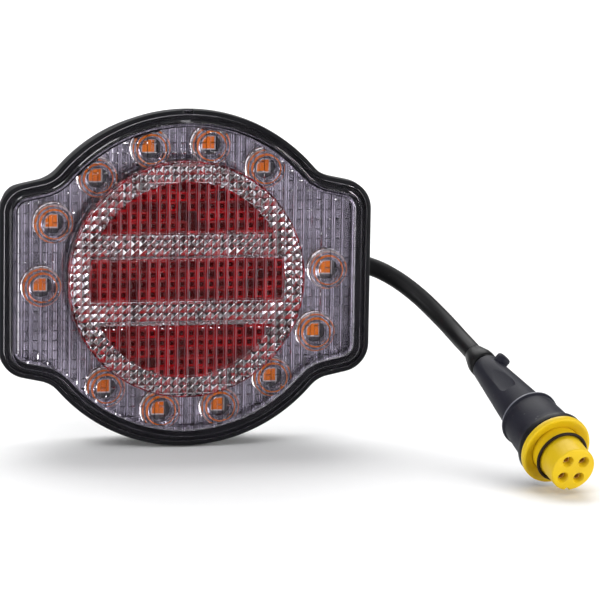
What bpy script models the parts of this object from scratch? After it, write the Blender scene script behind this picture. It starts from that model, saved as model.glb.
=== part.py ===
"""Trailer rear lamp with two side lobes, a short lead and a round four-way plug.

The rear mounting face lies in the plane Y = 0 with its centre at the origin. The lamp looks along -Y,
+Z is up and +X is to the right as seen from the front. Depths are measured forward from the rear face.
"""

import math

import bmesh
import bpy
from mathutils import Matrix, Vector

# --- outline of the lamp, seen from the front -----------------------------------------------------
DRUM_RADIUS = 0.0635
LOBE_REACH = 0.0065  # how far the flat lobe ends stand out past the drum
SHOULDER_HEIGHT = 0.0345  # where the sloping shoulder line meets the lobe's end plane
SHOULDER_SLOPE = math.radians(12)
CORNER_RADIUS = 0.011
WAIST_RADIUS = 0.0115
CORNER_STEPS = 4
WAIST_STEPS = 3
DRUM_STEPS = 6

# --- housing ----------------------------------------------------------------------------------------
BODY_DEPTH = 0.0215
FLANGE_THICKNESS = 0.0055
FLANGE_OVERHANG = 0.0036
WALL = 0.0020
FLOOR = 0.0024
RIM_WIDTH = 0.0016
SEAT_DEPTH = 0.0035
EDGE_BREAK = 0.0004
GAP = 0.0003  # clearance between neighbours that touch
RIM_FRONT = BODY_DEPTH + FLANGE_THICKNESS
SEAT = RIM_FRONT - SEAT_DEPTH
CAVITY_INSET = FLANGE_OVERHANG + WALL
KEY_WIDTH = 0.0036
KEY_DEPTH = 0.0018

# --- lenses -----------------------------------------------------------------------------------------
LENS_THICKNESS = 0.0024
LENS_PROUD = 0.0036  # lens field in front of the rim
LENS_BORDER_WIDTH = 0.0018
LENS_DRAFT = 0.0005
LENS_WALL = 0.0020
LENS_ROUND = 0.0007
LENS_CHAMFER = 0.0003
LENS_FRONT = RIM_FRONT + LENS_PROUD
LENS_REAR = LENS_FRONT - LENS_THICKNESS
LENS_EDGE = RIM_WIDTH + GAP
RED_LEDGE = 0.0007  # how far the red lens laps over its chamber wall
RED_THICKNESS = 0.0018
BAND_MARGIN = 0.0006
BAND_WIDTH = 0.0071
BAND_RELIEF = 0.0012  # height of the prism band on the lens's inner face
BAR_WIDTH = 0.0090
BAR_OFFSET = 0.0125  # height of each straight bar above or below the centre

# --- board and its supports -------------------------------------------------------------------------
BOARD_STANDOFF = 0.0100
BOARD_THICKNESS = 0.0016
BOARD_REAR = FLOOR + BOARD_STANDOFF
BOARD_FRONT = BOARD_REAR + BOARD_THICKNESS
BOARD_INSET = CAVITY_INSET + GAP
BOSS_RADIUS = 0.0040
SCREW_CIRCLE = 0.0360
SCREW_COUNT = 4
SCREW_SHANK_RADIUS = 0.0015
SCREW_HEAD_RADIUS = 0.0030
SCREW_HEAD_HEIGHT = 0.0020
SCREW_LENGTH = 0.0070
SCREW_HOLE_DEPTH = SCREW_LENGTH - BOARD_THICKNESS + 0.0004

# --- light sources and optics -----------------------------------------------------------------------
LED_SIZE = 0.0050
LED_HEIGHT = 0.0017
LED_FRAME = 0.0007
TRAY_WALL = 0.0009
TRAY_FLOOR = 0.0012
TRAY_REAR = BOARD_FRONT + GAP + LED_HEIGHT + 0.0004
TRAY_FRONT = TRAY_REAR + TRAY_FLOOR
TRAY_INSET = CAVITY_INSET + GAP
TRAY_LIP = SEAT - GAP
LED_OPENING_RADIUS = 0.0040
DOME_RADIUS = 0.0058
PLATE_THICKNESS = 0.0013
PLATE_REAR = TRAY_FRONT + GAP
PLATE_FRONT = PLATE_REAR + PLATE_THICKNESS
PLATE_INSET = TRAY_INSET + TRAY_WALL + 0.0008
DOME_TIP = LENS_REAR - 0.0012
DOME_CROWN = 0.0042
AMBER_RADIUS = DRUM_RADIUS - TRAY_INSET - TRAY_WALL - GAP - DOME_RADIUS
AMBER_PLACES = 14
AMBER_FIRST_ANGLE = math.radians(2.6)
AMBER_EMPTY = (1, 8)
LOBE_SHIFT = 0.0034  # extra reach of the four light sources in the lobes
LOBE_COSINE = 0.88
CHAMBER_RADIUS = AMBER_RADIUS - DOME_RADIUS - 0.0009
CHAMBER_WALL = 0.0014
CENTRE_HOLE_RADIUS = CHAMBER_RADIUS + GAP
RED_LENS_RADIUS = CHAMBER_RADIUS + RED_LEDGE
RED_LED_COUNT = 8
RED_LED_CIRCLE = 0.0260
BAND_RADIUS = RED_LENS_RADIUS - BAND_MARGIN
BAND_REAR = LENS_REAR - BAND_RELIEF
RED_LENS_FRONT = BAND_REAR - GAP
RED_LENS_REAR = RED_LENS_FRONT - RED_THICKNESS

# --- fixing, breather, driver and terminal ----------------------------------------------------------
STUD_SPACING = 0.0500
STUD_RADIUS = 0.0030
STUD_OUT = 0.0160
STUD_IN = 0.0055
STUD_BOSS_RADIUS = 0.0060
STUD_BOSS_TOP = FLOOR + 0.0050
NUT_ACROSS_CORNERS = 0.0115
NUT_HEIGHT = 0.0050
NUT_FLANGE_RADIUS = 0.0068
NUT_FLANGE_HEIGHT = 0.0012
NUT_STANDOFF = 0.0035
VENT_RADIUS = 0.0040
VENT_RECESS = 0.0012
VENT_HOLE_RADIUS = 0.0015
VENT_PLACE = (0.0, -0.0250)
DRIVER_SIZE = (0.0160, 0.0030, 0.0160)
TERMINAL_SIZE = (0.0080, 0.0055, 0.0110)
TERMINAL_PLACE = (0.0440, 0.0025)

# --- lead -------------------------------------------------------------------------------------------
LEAD_RADIUS = 0.0034
LEAD_SIDES_SETTING = 2
LEAD_SPACING = 0.0102  # one and a half diameters between the points of the tube
CORE_RADIUS = 0.0008
CORE_PITCH = 0.0022
CORE_TERMINAL_PITCH = 0.0032
CORE_STRAIGHT = 0.0030
# The free lead from its gland to the plug, as a smooth curve through these points. The first number of
# each is measured from the lobe's flat end, and the others from the lamp's centre.
LEAD_ROUTE_FROM_LOBE = [
    (-0.0012, -0.0084, 0.0022),
    (0.0046, -0.0092, 0.0004),
    (0.0090, -0.0108, -0.0014),
    (0.0141, -0.0137, -0.0043),
    (0.0185, -0.0170, -0.0075),
    (0.0224, -0.0210, -0.0109),
    (0.0260, -0.0259, -0.0146),
    (0.0293, -0.0320, -0.0183),
    (0.0323, -0.0402, -0.0222),
    (0.0350, -0.0505, -0.0258),
]
LOBE_END = DRUM_RADIUS + LOBE_REACH
LEAD_ROUTE = [(x + LOBE_END, y, z) for x, y, z in LEAD_ROUTE_FROM_LOBE]
GLAND_RADIUS = 0.0039
GLAND_FLANGE_RADIUS = 0.0044
GLAND_NECK = 0.0066
GLAND_FLANGE = 0.0016
GLAND_NOTCH_WIDTH = 0.0130
GLAND_NOTCH_REACH = 0.0066

# --- plug, measured along its axis from the end of the lead -----------------------------------------
PLUG_AXIS = Vector((0.2233, -0.9143, -0.3378)).normalized()
PLUG_TURN = math.radians(-11)
NOSE_RADIUS = 0.0085
NOSE_LENGTH = 0.0134
NOSE_BASE_RADIUS = NOSE_RADIUS + 0.0007
NOSE_BASE_LENGTH = 0.0032  # thicker foot of the nose, in front of the ring
NOSE_SEAL_WIDTH = 0.0012
COLLAR_LENGTH = 0.0096
COLLAR_REAR_RADIUS = LEAD_RADIUS + 0.0004
COLLAR_FRONT_RADIUS = LEAD_RADIUS + 0.0019
BOOT_REAR_RADIUS = LEAD_RADIUS + 0.0017
BOOT_FRONT_RADIUS = NOSE_RADIUS + 0.0003
SLEEVE_REAR = 0.0472
SLEEVE_FRONT = 0.0650
SLEEVE_REAR_RADIUS = NOSE_RADIUS + 0.0023
SLEEVE_FRONT_RADIUS = NOSE_RADIUS + 0.0029
SLEEVE_FLARE_RADIUS = NOSE_RADIUS + 0.0035
SEAL_THICKNESS = 0.0028
SEAL_RADIUS = NOSE_RADIUS + 0.0046
RING_THICKNESS = 0.0022
RING_RADIUS = NOSE_RADIUS + 0.0049
RING_DISH = 0.0007
PIN_CIRCLE = 0.0046
PIN_HOLE_RADIUS = 0.0016
PIN_HOLE_DEPTH = 0.0100
CONTACT_WALL = 0.0004
CONTACT_SETBACK = 0.0018
KEYWAY_RADIUS = 0.0011
KNOB_RADIUS = 0.0028
KNOB_REACH = 0.0082
KNOB_PLACE = 0.0150
KNOB_ANGLE = math.radians(62)
BOOT_FRONT = SLEEVE_FRONT - 0.0045
RING_REAR = SLEEVE_FRONT + GAP + SEAL_THICKNESS + GAP
RING_FRONT = RING_REAR + RING_THICKNESS
NOSE_TIP = RING_FRONT + NOSE_LENGTH

LOOK_FORWARD = Matrix.Rotation(math.pi / 2, 4, "X")  # local +Z becomes -Y


# --- tools ------------------------------------------------------------------------------------------
def clear_scene():
    for item in list(bpy.data.objects):
        bpy.data.objects.remove(item, do_unlink=True)


def material(name, colour, roughness, metallic=0.0, transmission=0.0):
    made = bpy.data.materials.get(name)
    if made is None:
        made = bpy.data.materials.new(name)
        made.use_nodes = True
        shader = made.node_tree.nodes["Principled BSDF"]
        shader.inputs["Base Color"].default_value = (*colour, 1.0)
        shader.inputs["Roughness"].default_value = roughness
        shader.inputs["Metallic"].default_value = metallic
        shader.inputs["Transmission Weight"].default_value = transmission
        made.diffuse_color = (*colour, 1.0)
    return made


def black_plastic():
    return material("black_plastic", (0.012, 0.012, 0.014), 0.42)


def black_rubber():
    return material("black_rubber", (0.030, 0.031, 0.040), 0.62)


def clear_plastic():
    return material("clear_plastic", (0.62, 0.63, 0.68), 0.08, transmission=0.9)


def red_plastic():
    return material("red_plastic", (0.36, 0.008, 0.014), 0.10, transmission=0.7)


def silver_plastic():
    return material("silver_plastic", (0.55, 0.55, 0.58), 0.30)


def yellow_plastic():
    return material("yellow_plastic", (0.78, 0.55, 0.010), 0.38)


def amber_chip():
    return material("amber_chip", (0.75, 0.22, 0.015), 0.35)


def red_chip():
    return material("red_chip", (0.55, 0.02, 0.02), 0.35)


def board_green():
    return material("board_green", (0.02, 0.08, 0.05), 0.45)


def brass():
    return material("brass", (0.60, 0.38, 0.14), 0.28, metallic=1.0)


def zinc():
    return material("zinc", (0.55, 0.56, 0.58), 0.32, metallic=1.0)


def new_object(name, mesh, look, matrix=None, parent=None, smooth=True):
    """Turns a bmesh into a named object with its own material, placed by its matrix."""
    bmesh.ops.recalc_face_normals(mesh, faces=mesh.faces)
    data = bpy.data.meshes.new(name)
    mesh.to_mesh(data)
    mesh.free()
    if smooth:
        data.shade_smooth()
        data.set_sharp_from_angle(angle=math.radians(32))
    item = bpy.data.objects.new(name, data)
    bpy.context.scene.collection.objects.link(item)
    if look is not None:
        data.materials.append(look)
    if parent is not None:
        item.parent = parent
    if matrix is not None:
        item.matrix_basis = matrix
    return item


def cutter(name, mesh, matrix=None, parent=None):
    item = new_object(name, mesh, None, matrix, parent, smooth=False)
    item.hide_render = True
    item.display_type = "WIRE"
    return item


def boolean(target, tool, operation="DIFFERENCE"):
    change = target.modifiers.new(tool.name, "BOOLEAN")
    change.object = tool
    change.operation = operation


def append(target, piece, matrix):
    """Adds one bmesh to another, moved by matrix."""
    carrier = bpy.data.meshes.new("carrier")
    piece.transform(matrix)
    piece.to_mesh(carrier)
    piece.free()
    target.from_mesh(carrier)
    bpy.data.meshes.remove(carrier)


def turned(profile, sides, ring=False):
    """Spins (radius, height) points about Z. A ring's profile is closed and stays off the axis."""
    mesh = bmesh.new()
    points = [mesh.verts.new((radius, 0.0, height)) for radius, height in profile]
    edges = [mesh.edges.new(pair) for pair in zip(points, points[1:])]
    if ring:
        edges.append(mesh.edges.new((points[-1], points[0])))
    turn = {"cent": (0, 0, 0), "axis": (0, 0, 1), "angle": 2 * math.pi}
    bmesh.ops.spin(mesh, geom=points + edges, steps=sides, use_merge=True, **turn)
    bmesh.ops.remove_doubles(mesh, verts=mesh.verts, dist=1e-6)
    bmesh.ops.recalc_face_normals(mesh, faces=mesh.faces)
    return mesh


def rod(radius, low, high, sides):
    return turned([(0, low), (radius, low), (radius, high), (0, high)], sides)


def block(size, centre):
    mesh = bmesh.new()
    bmesh.ops.create_cube(mesh, size=1.0)
    bmesh.ops.scale(mesh, vec=size, verts=mesh.verts)
    bmesh.ops.translate(mesh, vec=centre, verts=mesh.verts)
    return mesh


def outline(inset):
    """The lamp's outline as (x, z) points, anticlockwise from the right, moved inwards by inset."""
    reach = DRUM_RADIUS + LOBE_REACH
    slope = Vector((math.sin(SHOULDER_SLOPE), math.cos(SHOULDER_SLOPE)))  # outward normal
    along = Vector((-slope.y, slope.x))
    foot = Vector((reach, SHOULDER_HEIGHT))
    drop = CORNER_RADIUS * (slope.x - 1) / slope.y
    corner = Vector((reach - CORNER_RADIUS, SHOULDER_HEIGHT + drop))
    start = foot + slope * WAIST_RADIUS
    half = start.dot(along)
    rest = start.length_squared - (DRUM_RADIUS + WAIST_RADIUS) ** 2
    waist = start + along * (-half - math.sqrt(half * half - rest))
    waist_angle = math.atan2(waist.y, waist.x)
    lean = math.pi / 2 - SHOULDER_SLOPE
    quarter = arc(corner, CORNER_RADIUS - inset, 0.0, lean, CORNER_STEPS)
    quarter += arc(waist, WAIST_RADIUS + inset, lean + math.pi, waist_angle + math.pi, WAIST_STEPS)
    drum = arc(Vector((0, 0)), DRUM_RADIUS - inset, waist_angle, math.pi / 2, DRUM_STEPS)
    quarter += drum[1:]
    left = [(-x, z) for x, z in reversed(quarter[:-1])]
    top = quarter + left
    return top + [(-x, -z) for x, z in top]


def arc(centre, radius, first, last, steps):
    angles = [first + (last - first) * step / steps for step in range(steps + 1)]
    return [(centre.x + radius * math.cos(a), centre.y + radius * math.sin(a)) for a in angles]


def stacked(levels):
    """A closed solid through the lamp's outline at each (inset, depth), capped at both ends."""
    mesh = bmesh.new()
    loops = [[mesh.verts.new((x, -depth, z)) for x, z in outline(inset)] for inset, depth in levels]
    for lower, upper in zip(loops, loops[1:]):
        ahead = zip(lower, upper, upper[1:] + upper[:1], lower[1:] + lower[:1])
        for corners in ahead:
            mesh.faces.new(corners)
    mesh.faces.new(loops[0])
    mesh.faces.new(loops[-1])
    bmesh.ops.recalc_face_normals(mesh, faces=mesh.faces)
    return mesh


def at(x, z):
    """Matrix that stands a turned piece at (x, z), its height axis pointing to the front."""
    return Matrix.Translation((x, 0, z)) @ LOOK_FORWARD


def circle_places(count, radius, first):
    turns = [first + 2 * math.pi * step / count for step in range(count)]
    return [(radius * math.cos(turn), radius * math.sin(turn)) for turn in turns]


def amber_places():
    places = []
    for step in range(AMBER_PLACES):
        if step in AMBER_EMPTY:
            continue
        turn = AMBER_FIRST_ANGLE + 2 * math.pi * step / AMBER_PLACES
        lobe = LOBE_SHIFT if abs(math.cos(turn)) > LOBE_COSINE else 0.0
        radius = AMBER_RADIUS + lobe
        places.append((radius * math.cos(turn), radius * math.sin(turn)))
    return places


def screw_places():
    return circle_places(SCREW_COUNT, SCREW_CIRCLE, math.pi / 4)


def many(make, places):
    """One mesh that holds the same turned piece at each place."""
    mesh = bmesh.new()
    for x, z in places:
        append(mesh, make(), at(x, z))
    return mesh


def axis_frame(origin, axis, turn=0.0):
    """Matrix whose +Z runs along axis and whose +X is as near world +X as it can be, then turned."""
    side = (Vector((1, 0, 0)) - axis * axis.x).normalized()
    up = axis.cross(side)
    basis = Matrix((side, up, axis)).transposed().to_4x4()
    return Matrix.Translation(origin) @ basis @ Matrix.Rotation(turn, 4, "Z")


# --- housing and lenses -----------------------------------------------------------------------------
def make_housing():
    levels = [
        (FLANGE_OVERHANG, 0.0),
        (FLANGE_OVERHANG, BODY_DEPTH),
        (EDGE_BREAK, BODY_DEPTH),
        (0.0, BODY_DEPTH + EDGE_BREAK),
        (0.0, RIM_FRONT - EDGE_BREAK),
        (EDGE_BREAK, RIM_FRONT),
        (RIM_WIDTH, RIM_FRONT),
        (RIM_WIDTH, SEAT),
        (CAVITY_INSET, SEAT),
        (CAVITY_INSET, FLOOR),
    ]
    housing = new_object("housing", stacked(levels), black_plastic())
    boolean(housing, cutter("boss_set", boss_mesh()), "UNION")
    boolean(housing, cutter("housing_holes", housing_hole_mesh()))
    return housing


def boss_mesh():
    """Board bosses and stud bosses, rooted in the housing's floor."""
    root = FLOOR / 2
    mesh = many(lambda: rod(BOSS_RADIUS, root, BOARD_REAR - GAP, 12), screw_places())
    for side in (-1, 1):
        boss = rod(STUD_BOSS_RADIUS, root, STUD_BOSS_TOP, 16)
        append(mesh, boss, at(side * STUD_SPACING / 2, 0))
    return mesh


def housing_hole_mesh():
    """Screw holes, stud holes, breather recess, gland hole and the notch in the rim."""
    clear = SCREW_SHANK_RADIUS + GAP
    top = BOARD_REAR + GAP
    low = BOARD_REAR - GAP - SCREW_HOLE_DEPTH
    mesh = many(lambda: rod(clear, low, top, 8), screw_places())
    for side in (-1, 1):
        hole = rod(STUD_RADIUS + GAP, -GAP, STUD_IN + GAP, 12)
        append(mesh, hole, at(side * STUD_SPACING / 2, 0))
    recess = [
        (0, -GAP),
        (VENT_RADIUS + GAP, -GAP),
        (VENT_RADIUS + GAP, VENT_RECESS),
        (VENT_HOLE_RADIUS, VENT_RECESS),
        (VENT_HOLE_RADIUS, FLOOR + GAP),
        (0, FLOOR + GAP),
    ]
    append(mesh, turned(recess, 16), at(*VENT_PLACE))
    append(mesh, rod(GLAND_RADIUS + GAP, -0.0090, 0.0, 16), gland_frame())
    notch = block(
        (KEY_WIDTH + 2 * GAP, KEY_DEPTH + GAP, RIM_WIDTH + 2 * GAP),
        (0, -RIM_FRONT + KEY_DEPTH / 2, DRUM_RADIUS - RIM_WIDTH / 2),
    )
    append(mesh, notch, Matrix.Identity(4))
    return mesh


def make_clear_lens():
    """Clear cover: border in the rim's seat, proud field, and the prism band on its inner face."""
    foot = LENS_EDGE + LENS_BORDER_WIDTH
    brow = foot + LENS_DRAFT
    inner = brow + LENS_WALL
    border_front = RIM_FRONT - EDGE_BREAK
    levels = [
        (inner, LENS_REAR),
        (inner, SEAT + GAP),
        (LENS_EDGE, SEAT + GAP),
        (LENS_EDGE, border_front - LENS_CHAMFER),
        (LENS_EDGE + LENS_CHAMFER, border_front),
        (foot, border_front),
        (brow, LENS_FRONT - LENS_ROUND),
        (brow + LENS_ROUND * 0.3, LENS_FRONT - LENS_ROUND * 0.3),
        (brow + LENS_ROUND, LENS_FRONT),
    ]
    lens = new_object("clear_lens", stacked(levels), clear_plastic())
    boolean(lens, cutter("prism_ring", prism_ring_mesh(), LOOK_FORWARD), "UNION")
    boolean(lens, cutter("prism_bars", prism_bar_mesh()), "UNION")
    tab_low = DRUM_RADIUS - LENS_EDGE - LENS_CHAMFER
    tab_height = RIM_WIDTH + LENS_CHAMFER
    tab = block(
        (KEY_WIDTH, KEY_DEPTH - 2 * GAP, tab_height),
        (0, -RIM_FRONT + KEY_DEPTH / 2 + GAP, tab_low + tab_height / 2),
    )
    boolean(lens, cutter("lens_key", tab), "UNION")
    return lens


def prism_ring_mesh():
    root = LENS_REAR + LENS_THICKNESS / 2
    inner = BAND_RADIUS - BAND_WIDTH
    profile = [(inner, BAND_REAR), (BAND_RADIUS, BAND_REAR), (BAND_RADIUS, root), (inner, root)]
    return turned(profile, 40, ring=True)


def prism_bar_mesh():
    """The two straight bars that join the sides of the prism ring."""
    root = LENS_REAR + LENS_THICKNESS / 3
    far_edge = BAR_OFFSET + BAR_WIDTH / 2
    middle = BAND_RADIUS - BAND_WIDTH / 2
    half = math.sqrt(middle * middle - far_edge * far_edge)
    bars = bmesh.new()
    for side in (-1, 1):
        bar = block(
            (2 * half, root - BAND_REAR - EDGE_BREAK / 4, BAR_WIDTH),
            (0, -(root + BAND_REAR + EDGE_BREAK / 4) / 2, side * BAR_OFFSET),
        )
        append(bars, bar, Matrix.Identity(4))
    return bars


def make_red_lens():
    chamfer = LENS_CHAMFER
    profile = [
        (0, RED_LENS_REAR),
        (RED_LENS_RADIUS, RED_LENS_REAR),
        (RED_LENS_RADIUS, RED_LENS_FRONT - chamfer),
        (RED_LENS_RADIUS - chamfer, RED_LENS_FRONT),
        (0, RED_LENS_FRONT),
    ]
    return new_object("red_lens", turned(profile, 40), red_plastic(), LOOK_FORWARD)


# --- inside the lamp --------------------------------------------------------------------------------
def make_reflector_tray():
    levels = [
        (TRAY_INSET, TRAY_REAR),
        (TRAY_INSET, TRAY_LIP),
        (TRAY_INSET + TRAY_WALL, TRAY_LIP),
        (TRAY_INSET + TRAY_WALL, TRAY_FRONT),
    ]
    tray = new_object("reflector_tray", stacked(levels), silver_plastic())
    low = TRAY_REAR - 0.001
    high = TRAY_FRONT + 0.001
    holes = many(lambda: rod(LED_OPENING_RADIUS, low, high, 12), amber_places())
    append(holes, rod(CENTRE_HOLE_RADIUS, low, high, 48), LOOK_FORWARD)
    boolean(tray, cutter("tray_holes", holes))
    return tray


def dome():
    """One collimator bulge, from the plate up to its rounded tip."""
    shoulder = DOME_TIP - DOME_CROWN
    profile = [(0, PLATE_REAR + PLATE_THICKNESS / 2), (DOME_RADIUS, PLATE_REAR + PLATE_THICKNESS / 2)]
    for step in range(4):
        lift = math.radians(90) * step / 4
        profile.append((DOME_RADIUS * math.cos(lift), shoulder + DOME_CROWN * math.sin(lift)))
    profile.append((0, DOME_TIP))
    return turned(profile, 14)


def make_optic_ring():
    plate = stacked([(PLATE_INSET, PLATE_REAR), (PLATE_INSET, PLATE_FRONT)])
    optic = new_object("optic_ring", plate, clear_plastic())
    boolean(optic, cutter("optic_domes", many(dome, amber_places())), "UNION")
    hole = rod(CENTRE_HOLE_RADIUS, PLATE_REAR - 0.001, PLATE_FRONT + 0.001, 48)
    boolean(optic, cutter("optic_hole", hole, LOOK_FORWARD))
    return optic


def make_chamber_ring():
    low = BOARD_FRONT + GAP
    high = RED_LENS_REAR - GAP
    inner = CHAMBER_RADIUS - CHAMBER_WALL
    profile = [(inner, low), (CHAMBER_RADIUS, low), (CHAMBER_RADIUS, high), (inner, high)]
    ring = turned(profile, 48, ring=True)
    return new_object("chamber_ring", ring, black_plastic(), LOOK_FORWARD)


def make_circuit_board():
    levels = [(BOARD_INSET, BOARD_REAR), (BOARD_INSET, BOARD_FRONT)]
    board = new_object("circuit_board", stacked(levels), board_green())
    hole = SCREW_SHANK_RADIUS + GAP
    cuts = many(lambda: rod(hole, BOARD_REAR - 0.001, BOARD_FRONT + 0.001, 8), screw_places())
    notch = block(
        (2 * GLAND_NOTCH_REACH, 0.004, GLAND_NOTCH_WIDTH),
        (DRUM_RADIUS + LOBE_REACH - BOARD_INSET, -BOARD_REAR, LEAD_ROUTE[0][2] + 0.0025),
    )
    append(cuts, notch, Matrix.Identity(4))
    boolean(board, cutter("board_cuts", cuts))
    return board


def chip_mesh():
    """A surface-mount light source: a square base and a smaller raised window."""
    mesh = block((LED_SIZE, LED_SIZE, LED_HEIGHT / 2), (0, 0, BOARD_FRONT + GAP + LED_HEIGHT / 4))
    mesh.faces.ensure_lookup_table()
    top = max(mesh.faces, key=lambda face: face.calc_center_median().z)
    bmesh.ops.inset_region(mesh, faces=[top], thickness=LED_FRAME)
    raised = bmesh.ops.extrude_face_region(mesh, geom=[top])
    lifted = [item for item in raised["geom"] if isinstance(item, bmesh.types.BMVert)]
    bmesh.ops.translate(mesh, vec=(0, 0, LED_HEIGHT / 2), verts=lifted)
    bmesh.ops.delete(mesh, geom=[top], context="FACES_ONLY")
    return mesh


def make_light_sources():
    for number, (x, z) in enumerate(amber_places(), start=1):
        new_object(f"amber_led_{number:02d}", chip_mesh(), amber_chip(), at(x, z), smooth=False)
    reds = circle_places(RED_LED_COUNT, RED_LED_CIRCLE, 0.0)
    for number, (x, z) in enumerate(reds, start=1):
        new_object(f"red_led_{number}", chip_mesh(), red_chip(), at(x, z), smooth=False)


def screw_mesh():
    seat = BOARD_FRONT + GAP
    tip = BOARD_FRONT - SCREW_LENGTH
    profile = [
        (0, tip),
        (SCREW_SHANK_RADIUS, tip + 0.0006),
        (SCREW_SHANK_RADIUS, seat),
        (SCREW_HEAD_RADIUS, seat),
        (SCREW_HEAD_RADIUS, seat + SCREW_HEAD_HEIGHT / 2),
        (SCREW_HEAD_RADIUS * 0.6, seat + SCREW_HEAD_HEIGHT),
        (0, seat + SCREW_HEAD_HEIGHT),
    ]
    return turned(profile, 10)


def make_screws():
    for number, (x, z) in enumerate(screw_places(), start=1):
        new_object(f"board_screw_{number}", screw_mesh(), zinc(), at(x, z))


def make_driver_and_terminal():
    driver_depth = BOARD_REAR - GAP - DRIVER_SIZE[1] / 2
    driver = block(DRIVER_SIZE, (0, -driver_depth, 0))
    new_object("led_driver", driver, black_plastic(), smooth=False)
    x, z = TERMINAL_PLACE
    terminal_depth = BOARD_REAR - GAP - TERMINAL_SIZE[1] / 2
    terminal = block(TERMINAL_SIZE, (x, -terminal_depth, z))
    new_object("cable_terminal", terminal, silver_plastic(), smooth=False)


def make_vent():
    profile = [(0, GAP), (VENT_RADIUS, GAP), (VENT_RADIUS, VENT_RECESS - GAP), (0, VENT_RECESS - GAP)]
    new_object("vent_plug", turned(profile, 16), silver_plastic(), at(*VENT_PLACE))


# --- fixing -----------------------------------------------------------------------------------------
def make_fixings():
    for name, side in (("left", -1), ("right", 1)):
        place = at(side * STUD_SPACING / 2, 0)
        chamfer = 0.0008
        stud = turned(
            [
                (0, STUD_IN),
                (STUD_RADIUS, STUD_IN),
                (STUD_RADIUS, chamfer - STUD_OUT),
                (STUD_RADIUS - chamfer, -STUD_OUT),
                (0, -STUD_OUT),
            ],
            12,
        )
        new_object(f"stud_{name}", stud, zinc(), place)
        new_object(f"flange_nut_{name}", nut_mesh(), zinc(), place, smooth=False)


def nut_mesh():
    """Hexagon nut with a round flange towards the lamp, bored to clear the stud."""
    bore = STUD_RADIUS + GAP
    near = -NUT_STANDOFF
    step = near - NUT_FLANGE_HEIGHT
    far = near - NUT_HEIGHT
    corner = NUT_ACROSS_CORNERS / 2
    profile = [(bore, near), (NUT_FLANGE_RADIUS, near), (NUT_FLANGE_RADIUS, step), (corner, step)]
    profile += [(corner, far + 0.0004), (corner - 0.0007, far), (bore, far)]
    return turned(profile, 6 * 3, ring=True)


# --- lead -------------------------------------------------------------------------------------------
def smooth_route(points, first_way, last_way, spacing):
    """Points of even spacing on a smooth curve through points, leaving and arriving along the ways."""
    knots = [Vector(point) for point in points]
    reach_first = (knots[1] - knots[0]).length
    reach_last = (knots[-1] - knots[-2]).length
    before = knots[1] - 2 * reach_first * first_way
    after = knots[-2] + 2 * reach_last * last_way
    padded = [before] + knots + [after]
    fine = []
    for a, b, c, d in zip(padded, padded[1:], padded[2:], padded[3:]):
        for step in range(12):
            t = step / 12
            bend = (2 * a - 5 * b + 4 * c - d) * t * t + (3 * b - a - 3 * c + d) * t**3
            fine.append((2 * b + (c - a) * t + bend) / 2)
    fine.append(knots[-1])
    return even_points(fine, spacing)


def even_points(fine, spacing):
    lengths = [(q - p).length for p, q in zip(fine, fine[1:])]
    total = sum(lengths)
    count = max(2, round(total / spacing))
    wanted = [total * step / count for step in range(1, count)]
    picked = [fine[0]]
    run = 0.0
    for start, end, length in zip(fine, fine[1:], lengths):
        while wanted and run + length >= wanted[0]:
            picked.append(start.lerp(end, (wanted.pop(0) - run) / length))
        run += length
    return picked + [fine[-1]]


def tube(name, points, radius, setting, look):
    curve = bpy.data.curves.new(name, "CURVE")
    curve.dimensions = "3D"
    curve.bevel_depth = radius
    curve.bevel_resolution = setting
    curve.use_fill_caps = True
    spline = curve.splines.new("POLY")
    spline.points.add(len(points) - 1)
    for slot, point in zip(spline.points, points):
        slot.co = (*point, 1.0)
    curve.materials.append(look)
    item = bpy.data.objects.new(name, curve)
    bpy.context.scene.collection.objects.link(item)
    return item


def lead_exit_way():
    return (Vector(LEAD_ROUTE[1]) - Vector(LEAD_ROUTE[0])).normalized()


def gland_frame():
    return axis_frame(Vector(LEAD_ROUTE[0]), lead_exit_way())


def make_gland():
    neck_end = -GAP - GLAND_NECK
    inner = neck_end - GLAND_FLANGE
    tip = LEAD_RADIUS + 0.0001
    profile = [
        (0, inner),
        (GLAND_FLANGE_RADIUS, inner),
        (GLAND_FLANGE_RADIUS, neck_end),
        (GLAND_RADIUS, neck_end),
        (GLAND_RADIUS, -0.0016),
        (tip, -GAP),
        (0, -GAP),
    ]
    new_object("cable_gland", turned(profile, 16), black_rubber(), gland_frame())


def make_lead():
    points = smooth_route(LEAD_ROUTE, lead_exit_way(), PLUG_AXIS, LEAD_SPACING)
    tube("cable", points, LEAD_RADIUS, LEAD_SIDES_SETTING, black_rubber())


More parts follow.
